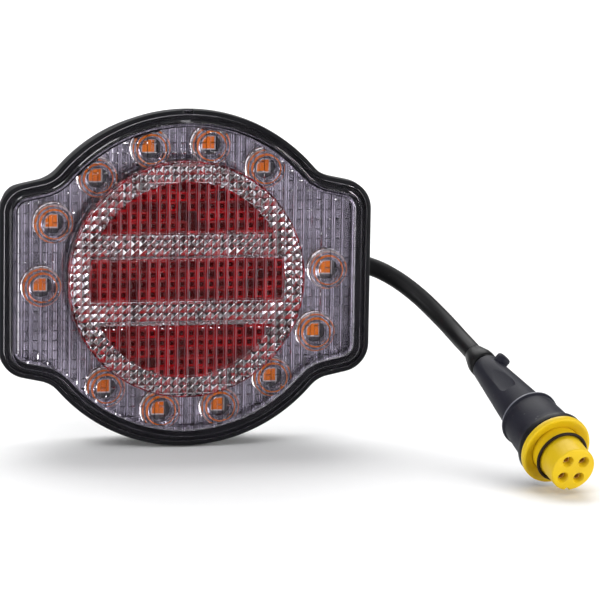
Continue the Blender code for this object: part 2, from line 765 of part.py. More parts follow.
def make_cores():
    """Four insulated cores from the gland's inner face to the terminal."""
    frame = gland_frame()
    start_height = -2 * GAP - GLAND_NECK - GLAND_FLANGE
    terminal_x = TERMINAL_PLACE[0] + TERMINAL_SIZE[0] / 2 + GAP
    terminal_depth = BOARD_REAR - GAP - TERMINAL_SIZE[1] / 2
    colours = [(0.45, 0.03, 0.02), (0.04, 0.22, 0.05), (0.55, 0.45, 0.04), (0.55, 0.55, 0.55)]
    corners = [(-1, -1), (1, -1), (-1, 1), (1, 1)]
    for number, ((column, row), colour) in enumerate(zip(corners, colours), start=1):
        start = frame @ Vector((column * CORE_PITCH / 2, row * CORE_PITCH / 2, start_height))
        side = frame.to_3x3() @ Vector((column, row, 0))
        shift_y = math.copysign(CORE_TERMINAL_PITCH / 2, side.y)
        shift_z = math.copysign(CORE_TERMINAL_PITCH / 2, side.z)
        end = Vector((terminal_x, shift_y - terminal_depth, shift_z + TERMINAL_PLACE[1]))
        route = [start, start - lead_exit_way() * CORE_STRAIGHT]
        route += [end + Vector((CORE_STRAIGHT, 0, 0)), end]
        look = material(f"core_{number}", colour, 0.5)
        tube(f"core_wire_{number}", route, CORE_RADIUS, 1, look)


# --- plug -------------------------------------------------------------------------------------------
def make_plug_frame():
    frame = bpy.data.objects.new("plug_frame", None)
    bpy.context.scene.collection.objects.link(frame)
    frame.matrix_basis = axis_frame(Vector(LEAD_ROUTE[-1]), PLUG_AXIS, PLUG_TURN)
    return frame


def make_plug_body(frame):
    collar = [
        (0, GAP),
        (COLLAR_REAR_RADIUS, GAP),
        (COLLAR_FRONT_RADIUS - 0.0003, COLLAR_LENGTH - 0.0045),
        (COLLAR_FRONT_RADIUS, COLLAR_LENGTH - 0.0020),
        (COLLAR_FRONT_RADIUS, COLLAR_LENGTH - 0.0005),
        (COLLAR_FRONT_RADIUS - 0.0004, COLLAR_LENGTH),
        (0, COLLAR_LENGTH),
    ]
    new_object("plug_collar", turned(collar, 24), black_rubber(), parent=frame)
    rear = COLLAR_LENGTH + GAP
    boot = [
        (0, rear),
        (BOOT_REAR_RADIUS, rear),
        (BOOT_REAR_RADIUS + 0.0002, rear + 0.0006),
        (BOOT_FRONT_RADIUS, SLEEVE_REAR - 0.0006),
        (BOOT_FRONT_RADIUS, SLEEVE_REAR + 0.0020),
        (BOOT_FRONT_RADIUS - 0.0008, SLEEVE_REAR + 0.0028),
        (BOOT_FRONT_RADIUS - 0.0008, BOOT_FRONT),
        (0, BOOT_FRONT),
    ]
    body = new_object("plug_boot", turned(boot, 24), black_rubber(), parent=frame)
    way = Matrix.Translation((0, 0, KNOB_PLACE)) @ Matrix.Rotation(KNOB_ANGLE, 4, "Z")
    stand = way @ Matrix.Rotation(math.pi / 2, 4, "Y")
    knob = [
        (0, KNOB_REACH / 4),
        (KNOB_RADIUS, KNOB_REACH / 4),
        (KNOB_RADIUS, KNOB_REACH - 0.0006),
        (KNOB_RADIUS - 0.0006, KNOB_REACH),
        (0, KNOB_REACH),
    ]
    boolean(body, cutter("boot_knob", turned(knob, 14), stand, frame), "UNION")


def make_coupling(frame):
    """Grip sleeve, its front seal and the coloured ring, which turn together about the plug's axis."""
    bore = BOOT_FRONT_RADIUS + GAP
    sleeve = [
        (bore, SLEEVE_REAR + 0.0008),
        (bore + 0.0006, SLEEVE_REAR),
        (SLEEVE_REAR_RADIUS - 0.0006, SLEEVE_REAR),
        (SLEEVE_REAR_RADIUS, SLEEVE_REAR + 0.0007),
        (SLEEVE_FRONT_RADIUS, SLEEVE_FRONT - 0.0030),
        (SLEEVE_FLARE_RADIUS, SLEEVE_FRONT - 0.0002),
        (SLEEVE_FLARE_RADIUS - 0.0002, SLEEVE_FRONT),
        (bore, SLEEVE_FRONT),
    ]
    sleeve_mesh = turned(sleeve, 32, ring=True)
    new_object("coupling_sleeve", sleeve_mesh, black_rubber(), parent=frame)
    low = SLEEVE_FRONT + GAP
    high = low + SEAL_THICKNESS
    inner = NOSE_BASE_RADIUS + GAP
    seal = [(inner, low), (SEAL_RADIUS, low), (SEAL_RADIUS, high), (inner, high)]
    new_object("flange_seal", turned(seal, 32, ring=True), black_rubber(), parent=frame)
    ring = [
        (inner, RING_REAR),
        (RING_RADIUS - 0.0004, RING_REAR),
        (RING_RADIUS, RING_REAR + 0.0004),
        (RING_RADIUS, RING_FRONT - 0.0005),
        (RING_RADIUS - 0.0005, RING_FRONT),
        (inner + 0.0004, RING_FRONT - RING_DISH),
        (inner, RING_FRONT - RING_DISH - 0.0004),
    ]
    new_object("coupling_ring", turned(ring, 32, ring=True), yellow_plastic(), parent=frame)


def pin_places():
    half = PIN_CIRCLE / math.sqrt(2)
    return [(-half, half), (half, half), (-half, -half), (half, -half)]


def make_insert(frame):
    rear = BOOT_FRONT + GAP
    nose = [
        (0, rear),
        (NOSE_RADIUS, rear),
        (NOSE_RADIUS, RING_REAR),
        (NOSE_BASE_RADIUS, RING_REAR),
        (NOSE_BASE_RADIUS, RING_FRONT + NOSE_BASE_LENGTH),
        (NOSE_RADIUS, RING_FRONT + NOSE_BASE_LENGTH),
        (NOSE_RADIUS, NOSE_TIP - 0.0007),
        (NOSE_RADIUS - 0.0007, NOSE_TIP),
        (0, NOSE_TIP),
    ]
    insert = new_object("plug_insert", turned(nose, 28), yellow_plastic(), parent=frame)
    holes = bmesh.new()
    low = NOSE_TIP - PIN_HOLE_DEPTH
    for x, y in pin_places():
        flare = [
            (0, low),
            (PIN_HOLE_RADIUS, low),
            (PIN_HOLE_RADIUS, NOSE_TIP - 0.0005),
            (PIN_HOLE_RADIUS + 0.0006, NOSE_TIP + 0.0001),
            (0, NOSE_TIP + 0.0001),
        ]
        append(holes, turned(flare, 12), Matrix.Translation((x, y, 0)))
    key_foot = RING_FRONT + NOSE_BASE_LENGTH + NOSE_SEAL_WIDTH + 2 * GAP
    keyway = rod(KEYWAY_RADIUS, key_foot, NOSE_TIP + 0.001, 10)
    append(holes, keyway, Matrix.Translation((0, -NOSE_RADIUS, 0)))
    boolean(insert, cutter("insert_holes", holes, parent=frame))
    middle = NOSE_RADIUS + GAP + NOSE_SEAL_WIDTH / 2
    height = RING_FRONT + NOSE_BASE_LENGTH + GAP + NOSE_SEAL_WIDTH / 2
    seal = []
    for step in range(8):
        turn = 2 * math.pi * step / 8
        offset = NOSE_SEAL_WIDTH / 2
        seal.append((middle + offset * math.cos(turn), height + offset * math.sin(turn)))
    new_object("nose_seal", turned(seal, 28, ring=True), black_rubber(), parent=frame)


def make_contacts(frame):
    outer = PIN_HOLE_RADIUS - GAP
    inner = outer - CONTACT_WALL
    low = NOSE_TIP - PIN_HOLE_DEPTH + GAP
    high = NOSE_TIP - CONTACT_SETBACK
    for number, (x, y) in enumerate(pin_places(), start=1):
        profile = [(inner, low), (outer, low), (outer, high), (inner, high)]
        place = Matrix.Translation((x, y, 0))
        mesh = turned(profile, 12, ring=True)
        new_object(f"contact_{number}", mesh, brass(), place, frame)


def main():
    clear_scene()
    make_housing()
    make_clear_lens()
    make_red_lens()
    make_reflector_tray()
    make_optic_ring()
    make_chamber_ring()
    make_circuit_board()
    make_light_sources()
    make_screws()
    make_driver_and_terminal()
    make_vent()
    make_fixings()
    make_gland()
    make_lead()
    make_cores()
    frame = make_plug_frame()
    make_plug_body(frame)
    make_coupling(frame)
    make_insert(frame)
    make_contacts(frame)


main()
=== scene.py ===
"""Looks of a trailer rear lamp: housing, prism lens, lamp optics, short lead and round four-way plug.

The lamp looks along -Y, +Z is up and +X is to the right as seen from the front. Depths are measured
forward from the rear mounting face at Y = 0. All sizes are in metres.
"""

import logging
import math
from dataclasses import dataclass, field
from enum import Enum

import bmesh
import bpy
from mathutils import Matrix, Vector


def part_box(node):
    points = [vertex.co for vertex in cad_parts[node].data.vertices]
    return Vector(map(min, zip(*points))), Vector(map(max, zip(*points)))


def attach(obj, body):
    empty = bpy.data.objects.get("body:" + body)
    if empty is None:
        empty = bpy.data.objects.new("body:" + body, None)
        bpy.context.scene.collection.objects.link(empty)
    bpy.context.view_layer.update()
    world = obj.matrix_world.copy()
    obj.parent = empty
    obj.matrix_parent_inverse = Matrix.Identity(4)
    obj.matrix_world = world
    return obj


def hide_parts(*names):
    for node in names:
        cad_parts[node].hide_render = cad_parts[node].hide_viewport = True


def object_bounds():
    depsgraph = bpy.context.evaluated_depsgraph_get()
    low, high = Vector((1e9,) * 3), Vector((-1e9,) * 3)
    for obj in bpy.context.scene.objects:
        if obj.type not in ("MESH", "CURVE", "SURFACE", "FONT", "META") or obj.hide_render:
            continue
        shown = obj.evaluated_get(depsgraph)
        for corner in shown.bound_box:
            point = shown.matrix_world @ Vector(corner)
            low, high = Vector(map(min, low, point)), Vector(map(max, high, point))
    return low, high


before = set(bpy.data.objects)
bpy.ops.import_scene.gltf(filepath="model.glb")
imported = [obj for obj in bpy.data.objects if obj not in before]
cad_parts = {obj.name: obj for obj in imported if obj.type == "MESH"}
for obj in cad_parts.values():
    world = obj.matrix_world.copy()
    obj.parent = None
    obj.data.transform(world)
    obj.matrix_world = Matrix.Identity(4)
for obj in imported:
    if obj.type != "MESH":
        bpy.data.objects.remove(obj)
CAD_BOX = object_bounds()

log = logging.getLogger("lamp")

GAP = 0.0003  # clearance between neighbours that touch
LOOK_FORWARD = Matrix.Rotation(math.pi / 2, 4, "X")  # local +Z becomes -Y


def front_of(node: str) -> float:
    """Depth of a node's front, from the rear mounting face."""
    return -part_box(node)[0].y


def rear_of(node: str) -> float:
    """Depth of a node's rear, from the rear mounting face."""
    return -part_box(node)[1].y


class Body(Enum):
    """The bodies that pieces ride on."""

    LAMP = "lamp"
    COUPLING = "coupling"


# --- shader groups and finishes -----------------------------------------------------------------
class Group:
    """A shader node group with named sockets, built once and shared by the finishes."""

    def __init__(self, name: str, inputs: dict[str, tuple[str, float]], outputs: list[str]) -> None:
        """Makes the group's sockets.

        Args:
            name: the group's name.
            inputs: each input's socket kind and default value, by name.
            outputs: names of the float outputs.
        """
        self.tree = bpy.data.node_groups.new(name, "ShaderNodeTree")
        for label, (kind, value) in inputs.items():
            socket = self.tree.interface.new_socket(label, in_out="INPUT", socket_type=kind)
            if kind == "NodeSocketFloat":
                socket.default_value = value
        for label in outputs:
            self.tree.interface.new_socket(label, in_out="OUTPUT", socket_type="NodeSocketFloat")
        self.entry = self.tree.nodes.new("NodeGroupInput").outputs
        self.exit = self.tree.nodes.new("NodeGroupOutput").inputs

    def add(self, kind: str, settings: dict | None = None, **inputs: object) -> bpy.types.Node:
        """Adds one node; see add_node."""
        return add_node(self.tree, kind, settings, **inputs)

    def link(self, source: bpy.types.NodeSocket, label: str) -> None:
        """Joins a socket to one of the group's outputs."""
        self.tree.links.new(source, self.exit[label])


def add_node(
    tree: bpy.types.NodeTree, kind: str, settings: dict | None = None, **inputs: object
) -> bpy.types.Node:
    """Adds a node, sets its properties and fills its inputs.

    Args:
        tree: the tree that gets the node.
        kind: the node's type.
        settings: node properties by name.
        inputs: values or sockets by input name, where _ stands for a space.

    Returns:
        The node.
    """
    node = tree.nodes.new(kind)
    for label, value in (settings or {}).items():
        setattr(node, label, value)
    for label, value in inputs.items():
        place = int(label[5:]) if label.startswith("input") else label.replace("_", " ")
        socket = node.inputs[place]
        if isinstance(value, bpy.types.NodeSocket):
            tree.links.new(value, socket)
        else:
            socket.default_value = value
    return node


def grain_group() -> Group:
    """Fine moulded grain with soft unevenness under it: Height for bump, Spread for roughness."""
    group = Group(
        "moulded_grain",
        {"Place": ("NodeSocketVector", 0.0), "Scale": ("NodeSocketFloat", 900.0)},
        ["Height", "Spread"],
    )
    place, scale = group.entry["Place"], group.entry["Scale"]
    fine = group.add("ShaderNodeTexNoise", Vector=place, Scale=scale, Detail=3.0, Roughness=0.6)
    soft = group.add("ShaderNodeTexNoise", Vector=place, Scale=70.0, Detail=4.0, Roughness=0.55)
    part = group.add("ShaderNodeMath", {"operation": "MULTIPLY"}, input0=fine.outputs["Fac"], input1=0.7)
    rest = group.add("ShaderNodeMath", {"operation": "MULTIPLY"}, input0=soft.outputs["Fac"], input1=0.3)
    both = group.add("ShaderNodeMath", input0=part.outputs[0], input1=rest.outputs[0])
    group.link(both.outputs[0], "Height")
    group.link(soft.outputs["Fac"], "Spread")
    return group


def wear_group() -> Group:
    """Hair scratches and dull rubbed patches: Mask is 1 where the surface is worn."""
    group = Group(
        "handling_wear",
        {"Place": ("NodeSocketVector", 0.0), "Amount": ("NodeSocketFloat", 0.5)},
        ["Mask"],
    )
    place = group.entry["Place"]
    bend = group.add("ShaderNodeTexNoise", Vector=place, Scale=30.0, Detail=2.0)
    hair = group.add(
        "ShaderNodeTexWave",
        {"bands_direction": "DIAGONAL"},
        Vector=place,
        Scale=55.0,
        Distortion=26.0,
        Detail=3.0,
        Detail_Scale=2.4,
    )
    thin = group.add(
        "ShaderNodeMapRange", Value=hair.outputs["Fac"], From_Min=0.965, From_Max=1.0
    )
    patch = group.add("ShaderNodeMapRange", Value=bend.outputs["Fac"], From_Min=0.52, From_Max=0.72)
    some = group.add(
        "ShaderNodeMath", {"operation": "MULTIPLY"}, input0=thin.outputs[0], input1=patch.outputs[0]
    )
    rubbed = group.add(
        "ShaderNodeMath", {"operation": "MULTIPLY"}, input0=patch.outputs[0], input1=0.35
    )
    both = group.add(
        "ShaderNodeMath", {"operation": "MAXIMUM"}, input0=some.outputs[0], input1=rubbed.outputs[0]
    )
    scaled = group.add(
        "ShaderNodeMath",
        {"operation": "MULTIPLY", "use_clamp": True},
        input0=both.outputs[0],
        input1=group.entry["Amount"],
    )
    group.link(scaled.outputs[0], "Mask")
    return group


def dust_group() -> Group:
    """Sparse specks of dust: Mask is 1 on a speck."""
    group = Group(
        "dust_specks",
        {"Place": ("NodeSocketVector", 0.0), "Amount": ("NodeSocketFloat", 0.5)},
        ["Mask"],
    )
    place = group.entry["Place"]
    cells = group.add("ShaderNodeTexVoronoi", Vector=place, Scale=420.0, Randomness=1.0)
    speck = group.add(
        "ShaderNodeMapRange",
        Value=cells.outputs["Distance"],
        From_Min=0.20,
        From_Max=0.12,
        To_Min=0.0,
        To_Max=1.0,
    )
    field_noise = group.add("ShaderNodeTexNoise", Vector=place, Scale=140.0, Detail=2.0)
    sparse = group.add(
        "ShaderNodeMapRange", Value=field_noise.outputs["Fac"], From_Min=0.56, From_Max=0.70
    )
    few = group.add(
        "ShaderNodeMath", {"operation": "MULTIPLY"}, input0=speck.outputs[0], input1=sparse.outputs[0]
    )
    scaled = group.add(
        "ShaderNodeMath",
        {"operation": "MULTIPLY", "use_clamp": True},
        input0=few.outputs[0],
        input1=group.entry["Amount"],
    )
    group.link(scaled.outputs[0], "Mask")
    return group


CELL_WIDTH = 0.00367  # metres, unless a finish gives its own
TONE_TOP = 1.2  # the highest tone a cell can have

# Where a cell's marks lie, in shares of its width from its middle: the two painted highlight lines and the
# painted shade square.
FLUTE_HIGHLIGHT_PLACE = 0.36
FLUTE_HIGHLIGHT_HALF_WIDTH = 0.035
PIT_SHADE_HALF_WIDTH = 0.24
PIT_SHADE_HALF_HEIGHT = 0.26


def cell_group() -> Group:
    """Square cells across the lamp's face.

    Each cell has its own tone, two upright lines that are painted highlights and a square middle that is
    painted shade.

    Returns:
        The group, with the outputs Tone, Flute (the painted highlight lines) and Pit (the painted shade
        square).
    """
    group = Group(
        "prism_cells",
        {"Place": ("NodeSocketVector", 0.0), "Width": ("NodeSocketFloat", CELL_WIDTH)},
        ["Tone", "FluteHighlight", "PitShade"],
    )
    width = group.entry["Width"]
    parts = group.add("ShaderNodeSeparateXYZ", Vector=group.entry["Place"]).outputs
    spots, shares = [], []
    for axis in ("X", "Z"):
        count = group.add("ShaderNodeMath", {"operation": "DIVIDE"}, input0=parts[axis], input1=width)
        spots.append(group.add("ShaderNodeMath", {"operation": "FLOOR"}, input0=count.outputs[0]))
        shares.append(group.add("ShaderNodeMath", {"operation": "FRACT"}, input0=count.outputs[0]))
    reach = group.add("ShaderNodeMath", {"operation": "SUBTRACT"}, input0=shares[0].outputs[0], input1=0.5)
    apart = group.add("ShaderNodeMath", {"operation": "ABSOLUTE"}, input0=reach.outputs[0])
    flute_highlight = group.add(
        "ShaderNodeMath",
        {"operation": "COMPARE"},
        input0=apart.outputs[0],
        input1=FLUTE_HIGHLIGHT_PLACE,
        input2=FLUTE_HIGHLIGHT_HALF_WIDTH,
    )
    group.link(flute_highlight.outputs[0], "FluteHighlight")
    middle = group.add(
        "ShaderNodeMath", {"operation": "LESS_THAN"}, input0=apart.outputs[0], input1=PIT_SHADE_HALF_WIDTH
    )
    rise = group.add("ShaderNodeMath", {"operation": "SUBTRACT"}, input0=shares[1].outputs[0], input1=0.5)
    height = group.add("ShaderNodeMath", {"operation": "ABSOLUTE"}, input0=rise.outputs[0])
    level = group.add(
        "ShaderNodeMath", {"operation": "LESS_THAN"}, input0=height.outputs[0], input1=PIT_SHADE_HALF_HEIGHT
    )
    pit_shade = group.add(
        "ShaderNodeMath", {"operation": "MULTIPLY"}, input0=middle.outputs[0], input1=level.outputs[0]
    )
    group.link(pit_shade.outputs[0], "PitShade")
    cell = group.add("ShaderNodeCombineXYZ", X=spots[0].outputs[0], Y=spots[1].outputs[0])
    chance = group.add("ShaderNodeTexWhiteNoise", {"noise_dimensions": "2D"}, Vector=cell.outputs[0])
    soft = group.add("ShaderNodeMapRange", Value=chance.outputs["Value"], To_Min=0.0, To_Max=TONE_TOP)
    group.link(soft.outputs[0], "Tone")
    return group


GRAIN = grain_group()
WEAR = wear_group()
DUST = dust_group()
CELLS = cell_group()

Colour = tuple[float, float, float]


class Recipe:
    """The node tree of one material, with short ways to place what the finishes share."""

    def __init__(self, name: str) -> None:
        """Starts a material with its Principled shader and Object coordinates."""
        self.material = bpy.data.materials.new(name)
        self.material.use_nodes = True
        self.tree = self.material.node_tree
        self.shader = self.tree.nodes["Principled BSDF"]
        self.place = self.add("ShaderNodeTexCoord").outputs["Object"]

    def add(self, kind: str, settings: dict | None = None, **inputs: object) -> bpy.types.Node:
        """Adds one node; see add_node."""
        return add_node(self.tree, kind, settings, **inputs)

    def shared(self, group: Group, **inputs: object) -> bpy.types.Node:
        """Places a shared group, reading the material's coordinates."""
        node = self.add("ShaderNodeGroup", {"node_tree": group.tree})
        self.tree.links.new(self.place, node.inputs["Place"])
        for label, value in inputs.items():
            node.inputs[label].default_value = value
        return node

    def mixed(self, factor: bpy.types.NodeSocket, first: object, second: object) -> bpy.types.NodeSocket:
        """Blends two colours by a factor.

        Args:
            factor: 0 gives the first colour and 1 the second.
            first: a colour, or a socket that holds one.
            second: likewise.

        Returns:
            The blended colour's socket.
        """
        node = self.add("ShaderNodeMix", {"data_type": "RGBA"}, input0=factor)
        for socket, value in ((node.inputs[6], first), (node.inputs[7], second)):
            if isinstance(value, bpy.types.NodeSocket):
                self.tree.links.new(value, socket)
            else:
                socket.default_value = (*value, 1.0)
        return node.outputs[2]

    def spread(self, source: bpy.types.NodeSocket, low: float, high: float) -> bpy.types.NodeSocket:
        """Maps a mask or noise to a range of values, and gives the new socket."""
        node = self.add(
            "ShaderNodeMapRange", Value=source, From_Min=0.3, From_Max=0.7, To_Min=low, To_Max=high
        )
        return node.outputs[0]

    def feed(self, label: str, socket: bpy.types.NodeSocket) -> None:
        """Joins a socket to one of the shader's inputs."""
        self.tree.links.new(socket, self.shader.inputs[label])

    def bump(self, height: bpy.types.NodeSocket, strength: float, distance: float) -> None:
        """Feeds a height to the shader's normal."""
        node = self.add("ShaderNodeBump", Strength=strength, Distance=distance, Height=height)
        self.feed("Normal", node.outputs["Normal"])


@dataclass(frozen=True)
class Moulded:
    """Opaque plastic or rubber with moulded grain, rubbed patches and a little dust.

    Attributes:
        name: the material's name.
        colour: its main colour.
        tone: the colour it drifts to, in soft patches.
        roughness: lowest and highest roughness.
        grain: strength of the grain's bump.
        grain_scale: how fine the grain is.
        wear: how worn it looks.
        dust: how dusty it looks.
        coat: weight of a clear gloss over it.
        specular: strength of the shader's surface reflection.
    """

    name: str
    colour: Colour
    tone: Colour
    roughness: tuple[float, float] = (0.35, 0.5)
    grain: float = 0.25
    grain_scale: float = 1400.0
    wear: float = 0.4
    dust: float = 0.3
    coat: float = 0.0
    specular: float = 0.5

    def build(self) -> bpy.types.Material:
        """Builds the material."""
        made = Recipe(self.name)
        grain = made.shared(GRAIN, Scale=self.grain_scale)
        wear = made.shared(WEAR, Amount=self.wear)
        dust = made.shared(DUST, Amount=self.dust)
        patch = made.spread(grain.outputs["Spread"], 0.0, 1.0)
        colour = made.mixed(patch, self.colour, self.tone)
        pale = tuple(min(1.0, part * 1.5 + 0.02) for part in self.tone)
        colour = made.mixed(wear.outputs["Mask"], colour, pale)
        colour = made.mixed(dust.outputs["Mask"], colour, (0.34, 0.33, 0.31))
        made.feed("Base Color", colour)
        low, high = self.roughness
        base = made.spread(grain.outputs["Spread"], low, high)
        rough = made.add(
            "ShaderNodeMath",
            {"operation": "MULTIPLY_ADD", "use_clamp": True},
            input0=wear.outputs["Mask"],
            input1=0.25,
            input2=base,
        )
        made.feed("Roughness", rough.outputs[0])
        made.bump(grain.outputs["Height"], self.grain, 0.0001)
        made.shader.inputs["Specular IOR Level"].default_value = self.specular
        made.shader.inputs["Coat Weight"].default_value = self.coat
        made.shader.inputs["Coat Roughness"].default_value = 0.12
        return made.material


@dataclass(frozen=True)
class Metal:
    """Plated or bare metal with fine turning marks, tarnish, handling wear and, if asked for, painted
    highlight lines.

    Attributes:
        name: the material's name.
        colour: the clean metal's colour.
        tarnish: the colour of its duller patches.
        roughness: lowest and highest roughness.
        dull: how much of it is tarnished.
        metallic: the shader's metallic value.
        highlight_streak: width of the cells that carry upright painted highlight lines, or 0 for none.
    """

    name: str
    colour: Colour
    tarnish: Colour
    roughness: tuple[float, float] = (0.18, 0.38)
    dull: float = 0.6
    metallic: float = 1.0
    highlight_streak: float = 0.0

    def build(self) -> bpy.types.Material:
        """Builds the material."""
        made = Recipe(self.name)
        made.shader.inputs["Metallic"].default_value = self.metallic
        grain = made.shared(GRAIN, Scale=2200.0)
        wear = made.shared(WEAR, Amount=0.6)
        patch = made.spread(grain.outputs["Spread"], 0.0, self.dull)
        colour = made.mixed(patch, self.colour, self.tarnish)
        # Painted highlight: pale upright lines in each cell, over a tone that differs at random.
        if self.highlight_streak:
            cells = made.shared(CELLS, Width=self.highlight_streak)
            pale = tuple(min(1.0, part * 1.9) for part in self.colour)
            colour = made.mixed(cells.outputs["Tone"], self.tarnish, colour)
            colour = made.mixed(cells.outputs["FluteHighlight"], colour, pale)
        made.feed("Base Color", made.mixed(wear.outputs["Mask"], colour, self.tarnish))
        made.feed("Roughness", made.spread(grain.outputs["Spread"], *self.roughness))
        made.bump(grain.outputs["Height"], 0.15, 0.00005)
        return made.material


@dataclass(frozen=True)
class ClearPlastic:
    """Transparent moulded plastic that bends what is seen through it and lets lamp light pass.

    Attributes:
        name: the material's name.
        colour: the tint of what passes through it.
        light_tint: the tint of the light that falls through it.
        roughness: lowest and highest roughness.
        ripple: strength of the moulding's flow marks.
        specular: grey level that tints the surface reflection; 1 leaves it as it is.
        clearness: how much light passes; the rest is coloured by the plastic itself.
        cell: width of the cells that differ in tone and carry painted highlight lines and a painted shade
            square, or 0 for none.
        flute_highlight: colour painted on the pair of upright lines in each cell as their highlight.
    """

    name: str
    colour: Colour
    light_tint: Colour
    roughness: tuple[float, float] = (0.015, 0.05)
    ripple: float = 0.12
    specular: float = 0.3
    clearness: float = 1.0
    cell: float = 0.0
    flute_highlight: Colour = (0.42, 0.26, 0.28)

    def build(self) -> bpy.types.Material:
        """Builds the material."""
        made = Recipe(self.name)
        made.shader.inputs["IOR"].default_value = 1.49
        made.shader.inputs["Transmission Weight"].default_value = self.clearness
        tint = (self.specular, self.specular, self.specular, 1.0)
        made.shader.inputs["Specular Tint"].default_value = tint
        grain = made.shared(GRAIN, Scale=420.0)
        dust = made.shared(DUST, Amount=0.35)
        patch = made.spread(grain.outputs["Spread"], 0.0, 1.0)
        duller = tuple(part * 0.93 for part in self.colour)
        colour = made.mixed(patch, self.colour, duller)
        # Painted light: each cell's tone differs at random, its upright lines get a painted highlight and
        # its square middle a painted shade.
        if self.cell:
            tone = made.shared(CELLS, Width=self.cell)
            dark_tone_and_shade = tuple(part * 0.12 for part in self.colour)
            colour = made.mixed(tone.outputs["Tone"], dark_tone_and_shade, colour)
            colour = made.mixed(tone.outputs["PitShade"], colour, dark_tone_and_shade)
            colour = made.mixed(tone.outputs["FluteHighlight"], colour, self.flute_highlight)
        made.feed("Base Color", colour)
        base = made.spread(grain.outputs["Spread"], *self.roughness)
        rough = made.add(
            "ShaderNodeMath",
            {"operation": "MULTIPLY_ADD", "use_clamp": True},
            input0=dust.outputs["Mask"],
            input1=0.35,
            input2=base,
        )
        made.feed("Roughness", rough.outputs[0])
        made.bump(grain.outputs["Height"], self.ripple, 0.0001)
        ray = made.add("ShaderNodeLightPath").outputs
        passing = made.add(
            "ShaderNodeMath",
            {"operation": "MAXIMUM"},
            input0=ray["Is Shadow Ray"],
            input1=ray["Is Diffuse Ray"],
        )
        sheer = made.add("ShaderNodeBsdfTransparent", Color=(*self.light_tint, 1.0))
        mix = made.add("ShaderNodeMixShader", Fac=passing.outputs[0])
        made.tree.links.new(made.shader.outputs["BSDF"], mix.inputs[1])
        made.tree.links.new(sheer.outputs["BSDF"], mix.inputs[2])
        made.tree.links.new(mix.outputs[0], made.tree.nodes["Material Output"].inputs["Surface"])
        return made.material


HOUSING_BLACK = Moulded(
    "housing_black",
    (0.006, 0.006, 0.007),
    (0.011, 0.011, 0.013),
    (0.30, 0.44),
    0.30,
    1500.0,
    0.15,
    0.10,
    specular=0.06,
)
SHADE_BLACK = Moulded("chamber_black", (0.02, 0.018, 0.02), (0.035, 0.03, 0.032), (0.35, 0.5))
LENS_CLEAR = ClearPlastic("lens_clear", (0.90, 0.88, 0.92), (0.91, 0.90, 0.93), ripple=0.03, specular=0.10)
OPTIC_CLEAR = ClearPlastic("optic_clear", (0.98, 0.98, 0.985), (0.97, 0.97, 0.98), (0.01, 0.03), 0.03, 0.25)
# The red lens's cells carry painted highlight lines and painted shade squares.
LENS_RED = ClearPlastic(
    "lens_red", (0.44, 0.0018, 0.005), (0.72, 0.03, 0.04), (0.06, 0.14), 0.2, 0.03, 0.40, 0.00367
)
# The tray's pale upright lines are painted highlights.
TRAY_SILVER = Metal(
    "tray_silver", (0.32, 0.30, 0.35), (0.14, 0.13, 0.16), (0.16, 0.30), 0.8, 0.9, 0.0030
)
BOARD_MASK = Moulded("board_mask", (0.26, 0.25, 0.27), (0.19, 0.18, 0.20), (0.25, 0.4), 0.2, 700.0)
CHIP_WHITE = Moulded("chip_white", (0.72, 0.71, 0.68), (0.62, 0.61, 0.58), (0.35, 0.5), 0.1, wear=0.1)
CHIP_AMBER = Moulded(
    "chip_amber",
    (1.0, 0.25, 0.003),
    (0.95, 0.19, 0.003),
    (0.3, 0.4),
    0.15,
    wear=0.0,
    dust=0.0,
    specular=0.1,
)
CHIP_RED = Moulded(
    "chip_red", (0.62, 0.05, 0.03), (0.50, 0.03, 0.02), (0.2, 0.3), 0.15, coat=0.4, wear=0.05
)
LEAD_RUBBER = Moulded(
    "lead_rubber",
    (0.004, 0.004, 0.0045),
    (0.007, 0.007, 0.008),
    (0.36, 0.50),
    0.35,
    1900.0,
    0.25,
    0.10,
    specular=0.16,
)
PLUG_RUBBER = Moulded(
    "plug_rubber",
    (0.0070, 0.0072, 0.0130),
    (0.0115, 0.0118, 0.0200),
    (0.46, 0.60),
    0.40,
    1700.0,
    0.4,
    0.15,
    specular=0.15,
)
# Painted highlight: a lighter rubber for the outer faces of the sleeve's rear lip, where the lip catches
# the light.
PLUG_LIP_HIGHLIGHT = Moulded(
    "plug_rubber_painted_highlight",
    (0.085, 0.087, 0.110),
    (0.120, 0.122, 0.150),
    (0.35, 0.5),
    0.30,
    1700.0,
    0.8,
)
SEAL_RUBBER = Moulded(
    "seal_rubber",
    (0.010, 0.005, 0.0025),
    (0.016, 0.008, 0.004),
    (0.4, 0.55),
    0.3,
    dust=0.05,
    specular=0.15,
)
PLUG_YELLOW = Moulded(
    "plug_yellow",
    (0.68, 0.47, 0.007),
    (0.60, 0.39, 0.006),
    (0.34, 0.46),
    0.22,
    1300.0,
    0.25,
    0.2,
    specular=0.25,
)
ZINC = Metal("zinc_plate", (0.62, 0.63, 0.65), (0.42, 0.43, 0.45))
BRASS = Metal("contact_brass", (0.78, 0.56, 0.24), (0.50, 0.33, 0.12), (0.2, 0.4))
VENT_GREY = Moulded("vent_grey", (0.42, 0.42, 0.43), (0.34, 0.34, 0.35))
TERMINAL_GREY = Moulded("terminal_grey", (0.50, 0.50, 0.50), (0.40, 0.40, 0.41))
CORE_COLOURS = (
    Moulded("core_red", (0.45, 0.03, 0.02), (0.36, 0.02, 0.02)),
    Moulded("core_green", (0.04, 0.22, 0.05), (0.03, 0.17, 0.04)),
    Moulded("core_yellow", (0.55, 0.45, 0.04), (0.46, 0.37, 0.03)),
    Moulded("core_white", (0.60, 0.60, 0.60), (0.50, 0.50, 0.50)),
)
STUDIO_FLOOR = Moulded(
    "studio_floor", (0.93, 0.93, 0.93), (0.92, 0.92, 0.92), (0.7, 0.8), 0.02, 60.0, 0.0, 0.0
)


